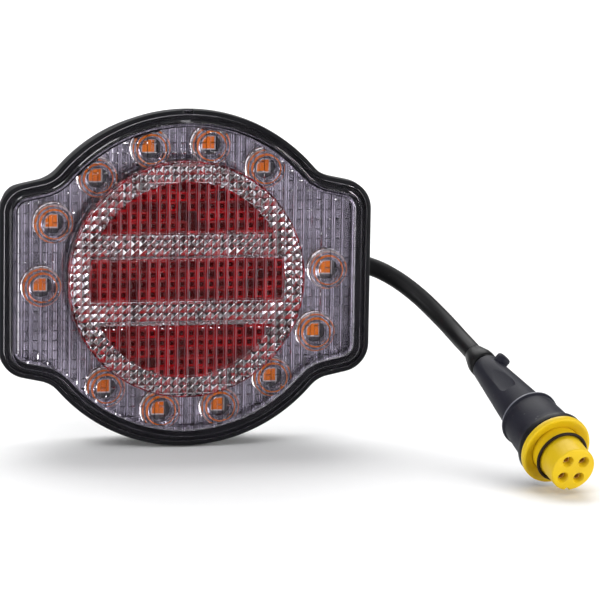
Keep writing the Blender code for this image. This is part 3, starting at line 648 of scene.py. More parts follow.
# --- mesh tools ---------------------------------------------------------------------------------
def spun(profile: list[tuple[float, float]], sides: int, ring: bool = False) -> bmesh.types.BMesh:
    """Spins (radius, height) points about Z into a closed turned shape.

    Args:
        profile: the points, in order along the profile.
        sides: number of steps round the axis.
        ring: whether the profile is closed and stays off the axis.

    Returns:
        The mesh.
    """
    mesh = bmesh.new()
    points = [mesh.verts.new((radius, 0.0, height)) for radius, height in profile]
    edges = [mesh.edges.new(pair) for pair in zip(points, points[1:])]
    if ring:
        edges.append(mesh.edges.new((points[-1], points[0])))
    turn = {"cent": (0, 0, 0), "axis": (0, 0, 1), "angle": 2 * math.pi}
    bmesh.ops.spin(mesh, geom=points + edges, steps=sides, use_merge=True, **turn)
    bmesh.ops.remove_doubles(mesh, verts=mesh.verts, dist=1e-7)
    return outward(mesh)


def outward(mesh: bmesh.types.BMesh) -> bmesh.types.BMesh:
    """Turns a closed mesh's faces outwards, and gives the mesh back."""
    bmesh.ops.recalc_face_normals(mesh, faces=mesh.faces)
    if mesh.calc_volume(signed=True) < 0:
        bmesh.ops.reverse_faces(mesh, faces=mesh.faces)
    return mesh


def box(size: tuple[float, float, float], centre: tuple[float, float, float]) -> bmesh.types.BMesh:
    """A plain block, for cutters and for shapes that are bevelled afterwards."""
    mesh = bmesh.new()
    bmesh.ops.create_cube(mesh, size=1.0)
    bmesh.ops.scale(mesh, vec=size, verts=mesh.verts)
    bmesh.ops.translate(mesh, vec=centre, verts=mesh.verts)
    return mesh


def rounded(mesh: bmesh.types.BMesh, width: float, segments: int = 3) -> bmesh.types.BMesh:
    """Rounds every sharp edge of a mesh, and gives the mesh back."""
    sharp = [edge for edge in mesh.edges if edge.calc_face_angle(0.0) > math.radians(35)]
    bmesh.ops.bevel(
        mesh,
        geom=sharp,
        offset=width,
        offset_type="OFFSET",
        segments=segments,
        profile=0.5,
        affect="EDGES",
        material=-1,
        clamp_overlap=True,
    )
    return mesh


def merged(target: bmesh.types.BMesh, extra: bmesh.types.BMesh, place: Matrix | None = None) -> None:
    """Adds one mesh to another, moved by a matrix, and frees it."""
    carrier = bpy.data.meshes.new("carrier")
    if place is not None:
        extra.transform(place)
    extra.to_mesh(carrier)
    extra.free()
    target.from_mesh(carrier)
    bpy.data.meshes.remove(carrier)


def solid(name: str, mesh: bmesh.types.BMesh, place: Matrix | None = None) -> bpy.types.Object:
    """Turns a bmesh into an object at the origin, with its place in its mesh.

    Args:
        name: the object's name.
        mesh: the shape, which is freed.
        place: where it goes.

    Returns:
        The object.
    """
    if place is not None:
        mesh.transform(place)
    data = bpy.data.meshes.new(name)
    mesh.to_mesh(data)
    mesh.free()
    made = bpy.data.objects.new(name, data)
    bpy.context.scene.collection.objects.link(made)
    return made


class Cut(Enum):
    """How one solid changes another."""

    JOIN = "UNION"
    AWAY = "DIFFERENCE"
    KEEP = "INTERSECT"


def carve(target: bpy.types.Object, tool: bpy.types.Object, cut: Cut) -> bpy.types.Object:
    """Applies one solid to another and removes the tool.

    Args:
        target: the solid that is changed.
        tool: the solid that cuts or joins it.
        cut: which of the two it does.

    Returns:
        The changed solid.
    """
    change = target.modifiers.new("carve", "BOOLEAN")
    change.object = tool
    change.operation = cut.value
    change.solver = "EXACT"
    applied(target)
    bpy.data.objects.remove(tool, do_unlink=True)
    return target


def applied(target: bpy.types.Object) -> None:
    """Puts an object's modifiers into its mesh."""
    bpy.context.view_layer.update()
    evaluated = target.evaluated_get(bpy.context.evaluated_depsgraph_get())
    data = bpy.data.meshes.new_from_object(evaluated)
    target.modifiers.clear()
    old = target.data
    target.data = data
    data.name = target.name
    bpy.data.meshes.remove(old)


def smooth(piece: bpy.types.Object, angle: float = 30.0) -> None:
    """Shades a piece smooth, apart from edges sharper than the angle in degrees."""
    piece.data.shade_smooth()
    piece.data.set_sharp_from_angle(angle=math.radians(angle))


_built: dict[str, bpy.types.Material] = {}


def material_of(finish: Moulded | Metal | ClearPlastic) -> bpy.types.Material:
    """The finish's material, built the first time it is asked for."""
    if finish.name not in _built:
        _built[finish.name] = finish.build()
    return _built[finish.name]


def fitted(
    piece: bpy.types.Object,
    finish: Moulded | Metal | ClearPlastic,
    body: Body,
    nodes: tuple[str, ...] = (),
    angle: float = 30.0,
) -> bpy.types.Object:
    """Dresses a new piece, joins it to its body and lets it stand for its CAD nodes.

    Args:
        piece: the new piece.
        finish: its finish.
        body: the body that it rides on.
        nodes: CAD nodes that it replaces.
        angle: edges sharper than this, in degrees, stay sharp.

    Returns:
        The piece.
    """
    if piece.type == "MESH":
        smooth(piece, angle)
    piece.data.materials.append(material_of(finish))
    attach(piece, body.value)
    if nodes:
        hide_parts(*nodes)
    log.info("piece %s in %s", piece.name, finish.name)
    return piece


def dressed(node: str, finish: Moulded | Metal | ClearPlastic) -> None:
    """Gives a kept CAD node its finish."""
    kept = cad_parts[node]
    kept.data.materials.clear()
    kept.data.materials.append(material_of(finish))
    log.info("kept %s in %s", node, finish.name)


# --- the lamp's outline -------------------------------------------------------------------------
@dataclass(frozen=True)
class Outline:
    """The lamp's outline seen from the front: a round drum with two flat lobes at its sides."""

    drum: float = 0.0635
    lobe: float = 0.0065
    shoulder: float = 0.0345
    slope: float = math.radians(12)
    corner: float = 0.011
    waist: float = 0.0115
    corner_steps: int = 12
    waist_steps: int = 9
    drum_steps: int = 26

    def points(self, inset: float) -> list[tuple[float, float]]:
        """The outline as (x, z) points, anticlockwise from the right.

        Args:
            inset: how far the outline is moved inwards.

        Returns:
            The points.
        """
        reach = self.drum + self.lobe
        outward = Vector((math.sin(self.slope), math.cos(self.slope)))
        along = Vector((-outward.y, outward.x))
        foot = Vector((reach, self.shoulder))
        drop = self.corner * (outward.x - 1) / outward.y
        corner = Vector((reach - self.corner, self.shoulder + drop))
        start = foot + outward * self.waist
        half = start.dot(along)
        rest = start.length_squared - (self.drum + self.waist) ** 2
        waist = start + along * (-half - math.sqrt(half * half - rest))
        waist_angle = math.atan2(waist.y, waist.x)
        lean = math.pi / 2 - self.slope
        quarter = arc(corner, self.corner - inset, 0.0, lean, self.corner_steps)
        back = (lean + math.pi, waist_angle + math.pi)
        quarter += arc(waist, self.waist + inset, *back, self.waist_steps)
        quarter += arc(Vector((0, 0)), self.drum - inset, waist_angle, math.pi / 2, self.drum_steps)[1:]
        top = quarter + [(-x, z) for x, z in reversed(quarter[:-1])]
        return top + [(-x, -z) for x, z in top]

    def lofted(self, levels: list[tuple[float, float]]) -> bmesh.types.BMesh:
        """A closed solid through the outline at each (inset, depth), capped at both ends.

        Args:
            levels: insets and depths, in order along the solid's skin.

        Returns:
            The mesh.
        """
        mesh = bmesh.new()
        inset, depth = levels[0]
        ring = [mesh.verts.new((x, -depth, z)) for x, z in self.points(inset)]
        mesh.faces.new(ring)
        for inset, depth in levels[1:]:
            pairs = zip(ring, ring[1:] + ring[:1])
            edges = [mesh.edges.get(pair) or mesh.edges.new(pair) for pair in pairs]
            grown = bmesh.ops.extrude_edge_only(mesh, edges=edges)["geom"]
            fresh = {item for item in grown if isinstance(item, bmesh.types.BMVert)}
            ring = [next(far for far in linked(vert) if far in fresh) for vert in ring]
            for vert, (x, z) in zip(ring, self.points(inset)):
                vert.co = (x, -depth, z)
        mesh.faces.new(ring)
        return outward(mesh)


def linked(vert: bmesh.types.BMVert) -> list[bmesh.types.BMVert]:
    """The vertices that share an edge with a vertex."""
    return [edge.other_vert(vert) for edge in vert.link_edges]


def arc(centre: Vector, radius: float, first: float, last: float, steps: int) -> list[tuple[float, float]]:
    """Points along an arc, both ends included."""
    angles = [first + (last - first) * step / steps for step in range(steps + 1)]
    return [(centre.x + radius * math.cos(a), centre.y + radius * math.sin(a)) for a in angles]


def at(x: float, z: float) -> Matrix:
    """Stands a turned piece at (x, z), its height axis pointing to the front."""
    return Matrix.Translation((x, 0, z)) @ LOOK_FORWARD


def place_of(node: str) -> tuple[float, float]:
    """The (x, z) middle of a CAD node."""
    low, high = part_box(node)
    return (low.x + high.x) / 2, (low.z + high.z) / 2


OUTLINE = Outline()
AMBER_NODES = tuple(f"amber_led_{number:02d}" for number in range(1, 13))
RED_NODES = tuple(f"red_led_{number}" for number in range(1, 9))


# --- housing ------------------------------------------------------------------------------------
@dataclass
class Housing:
    """The black housing: body, overhanging flange with a rounded rim, floor and fixing holes."""

    overhang: float = 0.0036
    body_depth: float = 0.0215
    rim_width: float = 0.0016
    edge_round: float = 0.0009
    floor: float = 0.0024
    wall: float = 0.0020
    seat_depth: float = 0.0035
    stud_spacing: float = 0.0500
    stud_radius: float = 0.0030
    stud_depth: float = 0.0055
    gland_radius: float = 0.0039
    notch_width: float = 0.0036
    notch_depth: float = 0.0018

    def build(self) -> None:
        """Builds the housing and its back details."""
        rim = front_of("housing")
        piece = solid("housing_shell", OUTLINE.lofted(self.levels(rim)))
        carve(piece, solid("holes", self.holes(rim)), Cut.AWAY)
        fitted(piece, HOUSING_BLACK, Body.LAMP, ("housing",), 34.0)

    def levels(self, rim: float) -> list[tuple[float, float]]:
        """The housing's skin from the back, over the rim and down inside.

        Args:
            rim: depth of the rim's front.

        Returns:
            (inset, depth) pairs.
        """
        turn = [math.radians(90) * step / 4 for step in range(5)]
        over = self.edge_round
        back = [(self.overhang + over * (1 - math.sin(a)), over * (1 - math.cos(a))) for a in turn]
        under = [(0.0004, self.body_depth), (0.0, self.body_depth + 0.0004)]
        front = [(over * (1 - math.cos(a)), rim - over * (1 - math.sin(a))) for a in turn]
        cavity = self.overhang + self.wall
        seat = rim - self.seat_depth
        inside = [
            (self.rim_width - 0.00015, rim),
            (self.rim_width, rim - 0.00015),
            (self.rim_width, seat),
            (cavity, seat),
            (cavity, self.floor),
        ]
        root = [(self.overhang, self.body_depth - 0.0006), (self.overhang - 0.0006, self.body_depth)]
        return back + root + under + front + inside

    def holes(self, rim: float) -> bmesh.types.BMesh:
        """Stud holes, the breather's recess, the gland's hole and the rim's notch."""
        holes = bmesh.new()
        for side in (-1, 1):
            shank = spun(rod_profile(self.stud_radius + GAP, -GAP, self.stud_depth), 32)
            merged(holes, shank, at(side * self.stud_spacing / 2, 0))
        x, z = place_of("vent_plug")
        recess = spun(rod_profile(0.0043, -GAP, 0.0012), 40)
        merged(holes, recess, at(x, z))
        gland = spun(rod_profile(self.gland_radius + GAP, -0.0090, 0.0), 32)
        merged(holes, gland, LEAD.gland_frame())
        width = self.notch_width + 2 * GAP
        reach = self.rim_width + 2 * GAP
        middle = (0, -rim + self.notch_depth / 2, OUTLINE.drum - self.rim_width / 2)
        merged(holes, box((width, self.notch_depth + GAP, reach), middle))
        return holes


def rod_profile(radius: float, low: float, high: float) -> list[tuple[float, float]]:
    """The profile of a plain round bar."""
    return [(0, low), (radius, low), (radius, high), (0, high)]


# --- lenses -------------------------------------------------------------------------------------
@dataclass
class ClearLens:
    """The clear cover: flush border, proud field, tile relief and a band of prisms on its inner face."""

    edge: float = 0.0019
    border: float = 0.0018
    draft: float = 0.0005
    wall: float = 0.0020
    crown: float = 0.0007
    tile: float = 0.00367
    tile_groove: float = 0.00150
    tile_gap: float = 0.00030
    tile_bevel: float = 0.00030
    tile_relief: float = 0.00052
    thickness: float = 0.0024
    prism: float = 0.00305
    band_outer: float = 0.0440
    band_width: float = 0.0071
    bar_width: float = 0.0090
    bar_offset: float = 0.0125
    lip: float = 0.00045
    key_width: float = 0.0036
    key_depth: float = 0.0018

    def build(self) -> None:
        """Builds the lens as one closed body with its relief cut into the inner face."""
        rim = front_of("housing")
        front = front_of("clear_lens")
        rear = rear_of("clear_lens")
        self.field_depth = front - self.thickness
        self.band_rear = front_of("red_lens") + GAP
        lens = solid("lens_cover", OUTLINE.lofted(self.levels(rim, front, rear)))
        hollow = self.field_shape(rear - GAP, self.band_rear)
        carve(lens, hollow, Cut.AWAY)
        carve(lens, self.key(rim), Cut.JOIN)
        carve(lens, self.tile_cutter(), Cut.AWAY)
        carve(lens, self.prism_cutter(), Cut.AWAY)
        fitted(lens, LENS_CLEAR, Body.LAMP, ("clear_lens",), 22.0)

    def levels(self, rim: float, front: float, rear: float) -> list[tuple[float, float]]:
        """The lens's outer skin, from the seat over the border to the field."""
        foot = self.edge + self.border
        brow = foot + self.draft
        turn = [math.radians(90) * step / 5 for step in range(6)]
        edge = [
            (brow + self.crown * (1 - math.cos(a)), front - self.crown * (1 - math.sin(a)))
            for a in turn
        ]
        border = rim - 0.0004
        return [
            (self.edge, rear),
            (self.edge, border - 0.0003),
            (self.edge + 0.0003, border),
            (foot - 0.0002, border),
            (foot, border + 0.0002),
        ] + edge

    def key(self, rim: float) -> bpy.types.Object:
        """The tab on the lens's edge that sits in the rim's notch."""
        low = OUTLINE.drum - self.edge - 0.0003
        tall = self.edge
        size = (self.key_width, self.key_depth - 2 * GAP, tall)
        return solid("key", box(size, (0, -rim + self.key_depth / 2 + GAP, low + tall / 2)))

    def field_shape(self, low: float, high: float) -> bpy.types.Object:
        """A block that fills the lens's inside between two depths."""
        inset = self.edge + self.border + self.draft + self.wall
        return solid("field", OUTLINE.lofted([(inset, low), (inset, high)]))

    def band_shape(self, low: float, high: float, grow: float) -> bpy.types.Object:
        """The band's plan as a solid: a ring joined by two straight bars.

        Args:
            low: depth of its rear.
            high: depth of its front.
            grow: how far its sides are moved outwards.

        Returns:
            The solid.
        """
        outer = self.band_outer + grow
        inner = self.band_outer - self.band_width - grow
        ring = spun([(inner, low), (outer, low), (outer, high), (inner, high)], 96, ring=True)
        band = solid("band", ring, LOOK_FORWARD)
        width = self.bar_width + 2 * grow
        middle = self.band_outer - self.band_width / 2
        for side in (-1, 1):
            far = self.bar_offset + self.bar_width / 2
            half = math.sqrt(middle * middle - far * far)
            centre = (0, -(low + high) / 2, side * self.bar_offset)
            bar = solid("bar", box((2 * half, high - low, width), centre))
            carve(band, bar, Cut.JOIN)
        return band

    def relief(self, pitch: float) -> bmesh.types.BMesh:
        """A flat grid of square cells across the whole lens."""
        across = math.ceil((OUTLINE.drum + OUTLINE.lobe) / pitch) + 1
        mesh = bmesh.new()
        bmesh.ops.create_grid(
            mesh, x_segments=2 * across, y_segments=2 * across, size=across * pitch
        )
        return mesh

    def backed(self, mesh: bmesh.types.BMesh, depth: float) -> bpy.types.Object:
        """Closes a relief into a solid that reaches behind the lens, its face at a depth."""
        grown = bmesh.ops.extrude_face_region(mesh, geom=mesh.faces[:])["geom"]
        fresh = [item for item in grown if isinstance(item, bmesh.types.BMVert)]
        for vert in fresh:
            vert.co.z = -0.003
        return solid("relief", outward(mesh), LOOK_FORWARD @ Matrix.Translation((0, 0, depth)))

    def tile_cutter(self) -> bpy.types.Object:
        """Cuts the field's tiles: each a raised flat with bevelled sides between shallow grooves."""
        mesh = self.relief(self.tile)
        bmesh.ops.inset_individual(mesh, faces=mesh.faces[:], thickness=self.tile_gap / 2)
        cells = [face for face in mesh.faces if face.calc_area() > (self.tile / 2) ** 2]
        squeeze = (self.tile - self.tile_groove) / (self.tile - self.tile_gap)
        for cell in cells:
            middle = Matrix.Translation(-cell.calc_center_median())
            bmesh.ops.scale(mesh, vec=(squeeze, 1, 1), space=middle, verts=cell.verts)
        bmesh.ops.inset_individual(mesh, faces=cells, thickness=self.tile_bevel, depth=-self.tile_relief)
        cutter = self.backed(mesh, self.field_depth)
        carve(cutter, self.field_shape(self.band_rear - GAP, self.field_depth + GAP), Cut.KEEP)
        wide = self.band_shape(self.band_rear - 0.002, self.field_depth + 0.001, self.lip)
        return carve(cutter, wide, Cut.AWAY)

    def prism_cutter(self) -> bpy.types.Object:
        """Cuts the band's pyramids, which point inwards."""
        mesh = self.relief(self.prism)
        height = self.prism / 2
        bmesh.ops.poke(mesh, faces=mesh.faces[:], offset=-height)
        cutter = self.backed(mesh, self.band_rear + height)
        narrow = self.band_shape(self.band_rear - GAP, self.band_rear + height + GAP, 0.0)
        return carve(cutter, narrow, Cut.KEEP)


@dataclass
class RedLens:
    """The red disc behind the clear cover; its cells, their painted highlight lines and painted shade
    squares are in its material.
    """

    edge_round: float = 0.0003

    def build(self) -> None:
        """Builds the disc."""
        low, high = rear_of("red_lens"), front_of("red_lens")
        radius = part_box("red_lens")[1].x
        chamfer = self.edge_round
        profile = [(0, low), (radius, low), (radius, high - chamfer), (radius - chamfer, high), (0, high)]
        piece = solid("red_filter", spun(profile, 96), LOOK_FORWARD)
        fitted(piece, LENS_RED, Body.LAMP, ("red_lens",))


# --- optics and light sources ------------------------------------------------------------------
BULGE_SIDES = 40


@dataclass
class Optics:
    """The clear plate with a collimator bulge over each amber light source."""

    bulge: float = 0.0076
    plate: float = 0.0013
    steps: int = 2
    step_width: float = 0.0016
    step_rise: float = 0.0006
    sag: float = 0.00022

    def build(self) -> None:
        """Builds the plate with its bulges as one piece."""
        low, high = rear_of("optic_ring"), front_of("optic_ring")
        inset = OUTLINE.drum + OUTLINE.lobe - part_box("optic_ring")[1].x
        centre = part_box("chamber_ring")[1].x + GAP
        piece = solid("optic_plate", OUTLINE.lofted([(inset, low), (inset, low + self.plate)]))
        for node in AMBER_NODES:
            bulge = solid("bulge", spun(self.profile(low, high), BULGE_SIDES), at(*place_of(node)))
            carve(piece, bulge, Cut.JOIN)
        tall = high - low + 0.002
        rim = solid("rim", OUTLINE.lofted([(inset - 0.0002, low - 0.001), (inset - 0.0002, low + tall)]))
        carve(piece, rim, Cut.KEEP)
        hole = solid("hole", spun(rod_profile(centre, low - 0.001, low + tall), 96), LOOK_FORWARD)
        carve(piece, hole, Cut.AWAY)
        fitted(piece, OPTIC_CLEAR, Body.LAMP, ("optic_ring",), 25.0)

    def profile(self, low: float, high: float) -> list[tuple[float, float]]:
        """One bulge: a steep side, two stepped rings and a nearly flat round window."""
        root = low + self.plate / 2
        rise = self.steps * self.step_rise + self.sag
        points = [(0, root), (self.bulge, root)]
        ring, top = self.bulge - 0.0003, high - rise - 0.0016
        points += [(self.bulge - 0.0001, top - 0.0012), (ring, top)]
        top = high - rise
        for _ in range(self.steps):
            points += [(ring - 0.0006, top), (ring - self.step_width + 0.0002, top - 0.0005)]
            ring -= self.step_width
            points += [(ring, top - 0.0005)]
            top += self.step_rise
        for step in range(6):
            reach = ring * (1 - step / 6)
            points.append((reach, high - self.sag * (reach / ring) ** 2))
        points.append((0, high))
        return points


@dataclass
class LightSources:
    """Surface-mount light sources: a white frame and a coloured window, for both colours."""

    size: float = 0.0050
    frame_width: float = 0.0003

    def build(self) -> None:
        """Builds every light source in place of its CAD node."""
        for node in AMBER_NODES:
            self.chip(node, CHIP_AMBER)
        for node in RED_NODES:
            self.chip(node, CHIP_RED)

    def chip(self, node: str, window: Moulded) -> None:
        """Builds one light source.

        Args:
            node: the CAD node that it replaces.
            window: finish of its window.
        """
        low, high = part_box(node)
        centre = (low + high) / 2
        size = (self.size, high.y - low.y, self.size)
        mesh = rounded(box(size, tuple(centre)), 0.00015, 1)
        face = min(mesh.faces, key=lambda item: item.calc_center_median().y)
        bmesh.ops.inset_region(mesh, faces=[face], thickness=self.frame_width)
        bmesh.ops.inset_region(mesh, faces=[face], thickness=0.0002, depth=-0.0002)
        face.material_index = 1
        piece = solid(f"{node}_chip", mesh)
        fitted(piece, CHIP_WHITE, Body.LAMP, (node,))
        piece.data.materials.append(material_of(window))


@dataclass
class InnerParts:
    """Parts inside the lamp that keep their CAD shape and get a finish."""

    screws: tuple[str, ...] = tuple(f"board_screw_{number}" for number in range(1, 5))

    def build(self) -> None:
        """Dresses the kept nodes."""
        dressed("reflector_tray", TRAY_SILVER)
        dressed("chamber_ring", SHADE_BLACK)
        dressed("circuit_board", BOARD_MASK)
        dressed("led_driver", SHADE_BLACK)
        dressed("cable_terminal", TERMINAL_GREY)
        for node in self.screws:
            dressed(node, ZINC)
        for number, finish in enumerate(CORE_COLOURS, start=1):
            dressed(f"core_wire_{number}", finish)


# --- fixing at the back -------------------------------------------------------------------------
@dataclass
class Fixings:
    """Two threaded studs with flanged nuts, and the breather plug."""

    pitch: float = 0.0010
    stud_radius: float = 0.0030
    nut_corners: float = 0.0115
    nut_height: float = 0.0050
    flange_radius: float = 0.0068
    flange_height: float = 0.0012

    def build(self) -> None:
        """Builds the studs, nuts and breather."""
        for side in ("left", "right"):
            self.stud(f"stud_{side}")
            self.nut(f"flange_nut_{side}")
        self.vent()

    def stud(self, node: str) -> None:
        """Builds one stud with a rolled thread outside the lamp."""
        low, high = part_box(node)
        inside, outside = -low.y, -high.y
        root = self.stud_radius - 0.0006
        points = [(0, inside), (self.stud_radius, inside), (self.stud_radius, 0.0)]
        place = -0.0004
        while place - self.pitch > outside + 0.0008:
            points += [(self.stud_radius, place), (root, place - self.pitch / 2)]
            place -= self.pitch
        points += [(self.stud_radius, place), (root, outside), (0, outside)]
        piece = solid(f"{node}_threaded", spun(points, 32), at(*place_of(node)))
        fitted(piece, ZINC, Body.LAMP, (node,), 25.0)

    def nut(self, node: str) -> None:
        """Builds one hexagon nut with its round flange."""
        near, far = rear_of(node) + self.nut_height, rear_of(node)
        bore = self.stud_radius + GAP
        mesh = bmesh.new()
        bmesh.ops.create_cone(
            mesh,
            cap_ends=True,
            segments=6,
            radius1=self.nut_corners / 2,
            radius2=self.nut_corners / 2,
            depth=self.nut_height - self.flange_height / 2,
            matrix=Matrix.Translation((0, 0, (near + far) / 2 - self.flange_height / 4)),
        )
        nut = solid(f"{node}_hexagon", rounded(mesh, 0.0003, 2), at(*place_of(node)))
        step = near - self.flange_height
        skirt = [(0, near), (self.flange_radius, near), (self.flange_radius, near - 0.0005)]
        skirt += [(self.nut_corners / 2 - 0.0006, step), (0, step)]
        carve(nut, solid("skirt", spun(skirt, 48), at(*place_of(node))), Cut.JOIN)
        cut = spun(rod_profile(bore, far - 0.001, near + 0.001), 32)
        carve(nut, solid("bore", cut, at(*place_of(node))), Cut.AWAY)
        fitted(nut, ZINC, Body.LAMP, (node,), 25.0)

    def vent(self) -> None:
        """Builds the breather: a disc with a raised rim."""
        low, high = rear_of("vent_plug"), front_of("vent_plug")
        radius = (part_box("vent_plug")[1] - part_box("vent_plug")[0]).x / 2
        profile = [
            (0, high),
            (radius, high),
            (radius, low + 0.0001),
            (radius - 0.0001, low),
            (radius - 0.0007, low),
            (radius - 0.0009, low + 0.0003),
            (0, low + 0.0003),
        ]
        piece = solid("vent_disc", spun(profile, 40), at(*place_of("vent_plug")))
        fitted(piece, VENT_GREY, Body.LAMP, ("vent_plug",))


# --- lead ---------------------------------------------------------------------------------------
@dataclass
class Lead:
    """The short stiff lead, its gland in the housing and the way it leaves."""

    radius: float = 0.0034
    gland_radius: float = 0.0039
    flange_radius: float = 0.0044
    neck: float = 0.0066
    flange: float = 0.0016
    route: list[tuple[float, float, float]] = field(
        default_factory=lambda: [
            (0.0688, -0.0084, 0.0022),
            (0.0746, -0.0092, 0.0004),
            (0.0790, -0.0108, -0.0014),
            (0.0841, -0.0137, -0.0043),
            (0.0885, -0.0170, -0.0075),
            (0.0924, -0.0210, -0.0109),
            (0.0960, -0.0259, -0.0146),
            (0.0993, -0.0320, -0.0183),
            (0.1023, -0.0402, -0.0222),
            (0.1050, -0.0505, -0.0258),
        ]
    )

    def exit_way(self) -> Vector:
        """Direction in which the lead leaves its gland."""
        return (Vector(self.route[1]) - Vector(self.route[0])).normalized()

    def gland_frame(self) -> Matrix:
        """Frame at the lead's exit, its Z along the lead."""
        return axis_frame(Vector(self.route[0]), self.exit_way())

    def line(self) -> list[Vector]:
        """The lead's centreline as closely spaced points through the route.

        Returns:
            The points, from the gland to the plug.
        """
        knots = [Vector(point) for point in self.route]
        first = knots[1] - 2 * (knots[1] - knots[0]).length * self.exit_way()
        last = knots[-2] + 2 * (knots[-1] - knots[-2]).length * PLUG.axis
        padded = [first] + knots + [last]
        points = []
        for a, b, c, d in zip(padded, padded[1:], padded[2:], padded[3:]):
            for step in range(4):
                t = step / 4
                bend = (2 * a - 5 * b + 4 * c - d) * t * t + (3 * b - a - 3 * c + d) * t**3
                points.append((2 * b + (c - a) * t + bend) / 2)
        return points + [knots[-1]]

    def build(self) -> bpy.types.Object:
        """Builds the lead as a curve, and the gland.

        Returns:
            The lead.
        """
        points = self.line()
        curve = bpy.data.curves.new("lead_cable", "CURVE")
        curve.dimensions = "3D"
        curve.bevel_depth = self.radius
        curve.bevel_resolution = 8
        curve.use_fill_caps = True
        spline = curve.splines.new("POLY")
        spline.points.add(len(points) - 1)
        for slot, point in zip(spline.points, points):
            slot.co = (*point, 1.0)
        spline.use_smooth = True
        cable = bpy.data.objects.new("lead_cable", curve)
        bpy.context.scene.collection.objects.link(cable)
        fitted(cable, LEAD_RUBBER, Body.LAMP, ("cable",))
        self.gland()
        return cable

    def gland(self) -> None:
        """Builds the rubber gland with its ribbed lip round the lead."""
        neck_end = -GAP - self.neck
        inner = neck_end - self.flange
        profile = [
            (0, inner),
            (self.flange_radius, inner),
            (self.flange_radius, neck_end),
            (self.gland_radius, neck_end),
            (self.gland_radius, -0.0022),
            (self.gland_radius - 0.00025, -0.0020),
            (self.gland_radius, -0.0017),
            (self.gland_radius - 0.0003, -0.0010),
            (self.radius + 0.0001, -GAP),
            (0, -GAP),
        ]
        piece = solid("lead_gland", spun(profile, 40), self.gland_frame())
        fitted(piece, LEAD_RUBBER, Body.LAMP, ("cable_gland",))


def axis_frame(origin: Vector, axis: Vector, turn: float = 0.0) -> Matrix:
    """A frame at a point, its +Z along an axis and its +X as near world +X as it can be, then turned."""
    side = (Vector((1, 0, 0)) - axis * axis.x).normalized()
    basis = Matrix((side, axis.cross(side), axis)).transposed().to_4x4()
    return Matrix.Translation(origin) @ basis @ Matrix.Rotation(turn, 4, "Z")


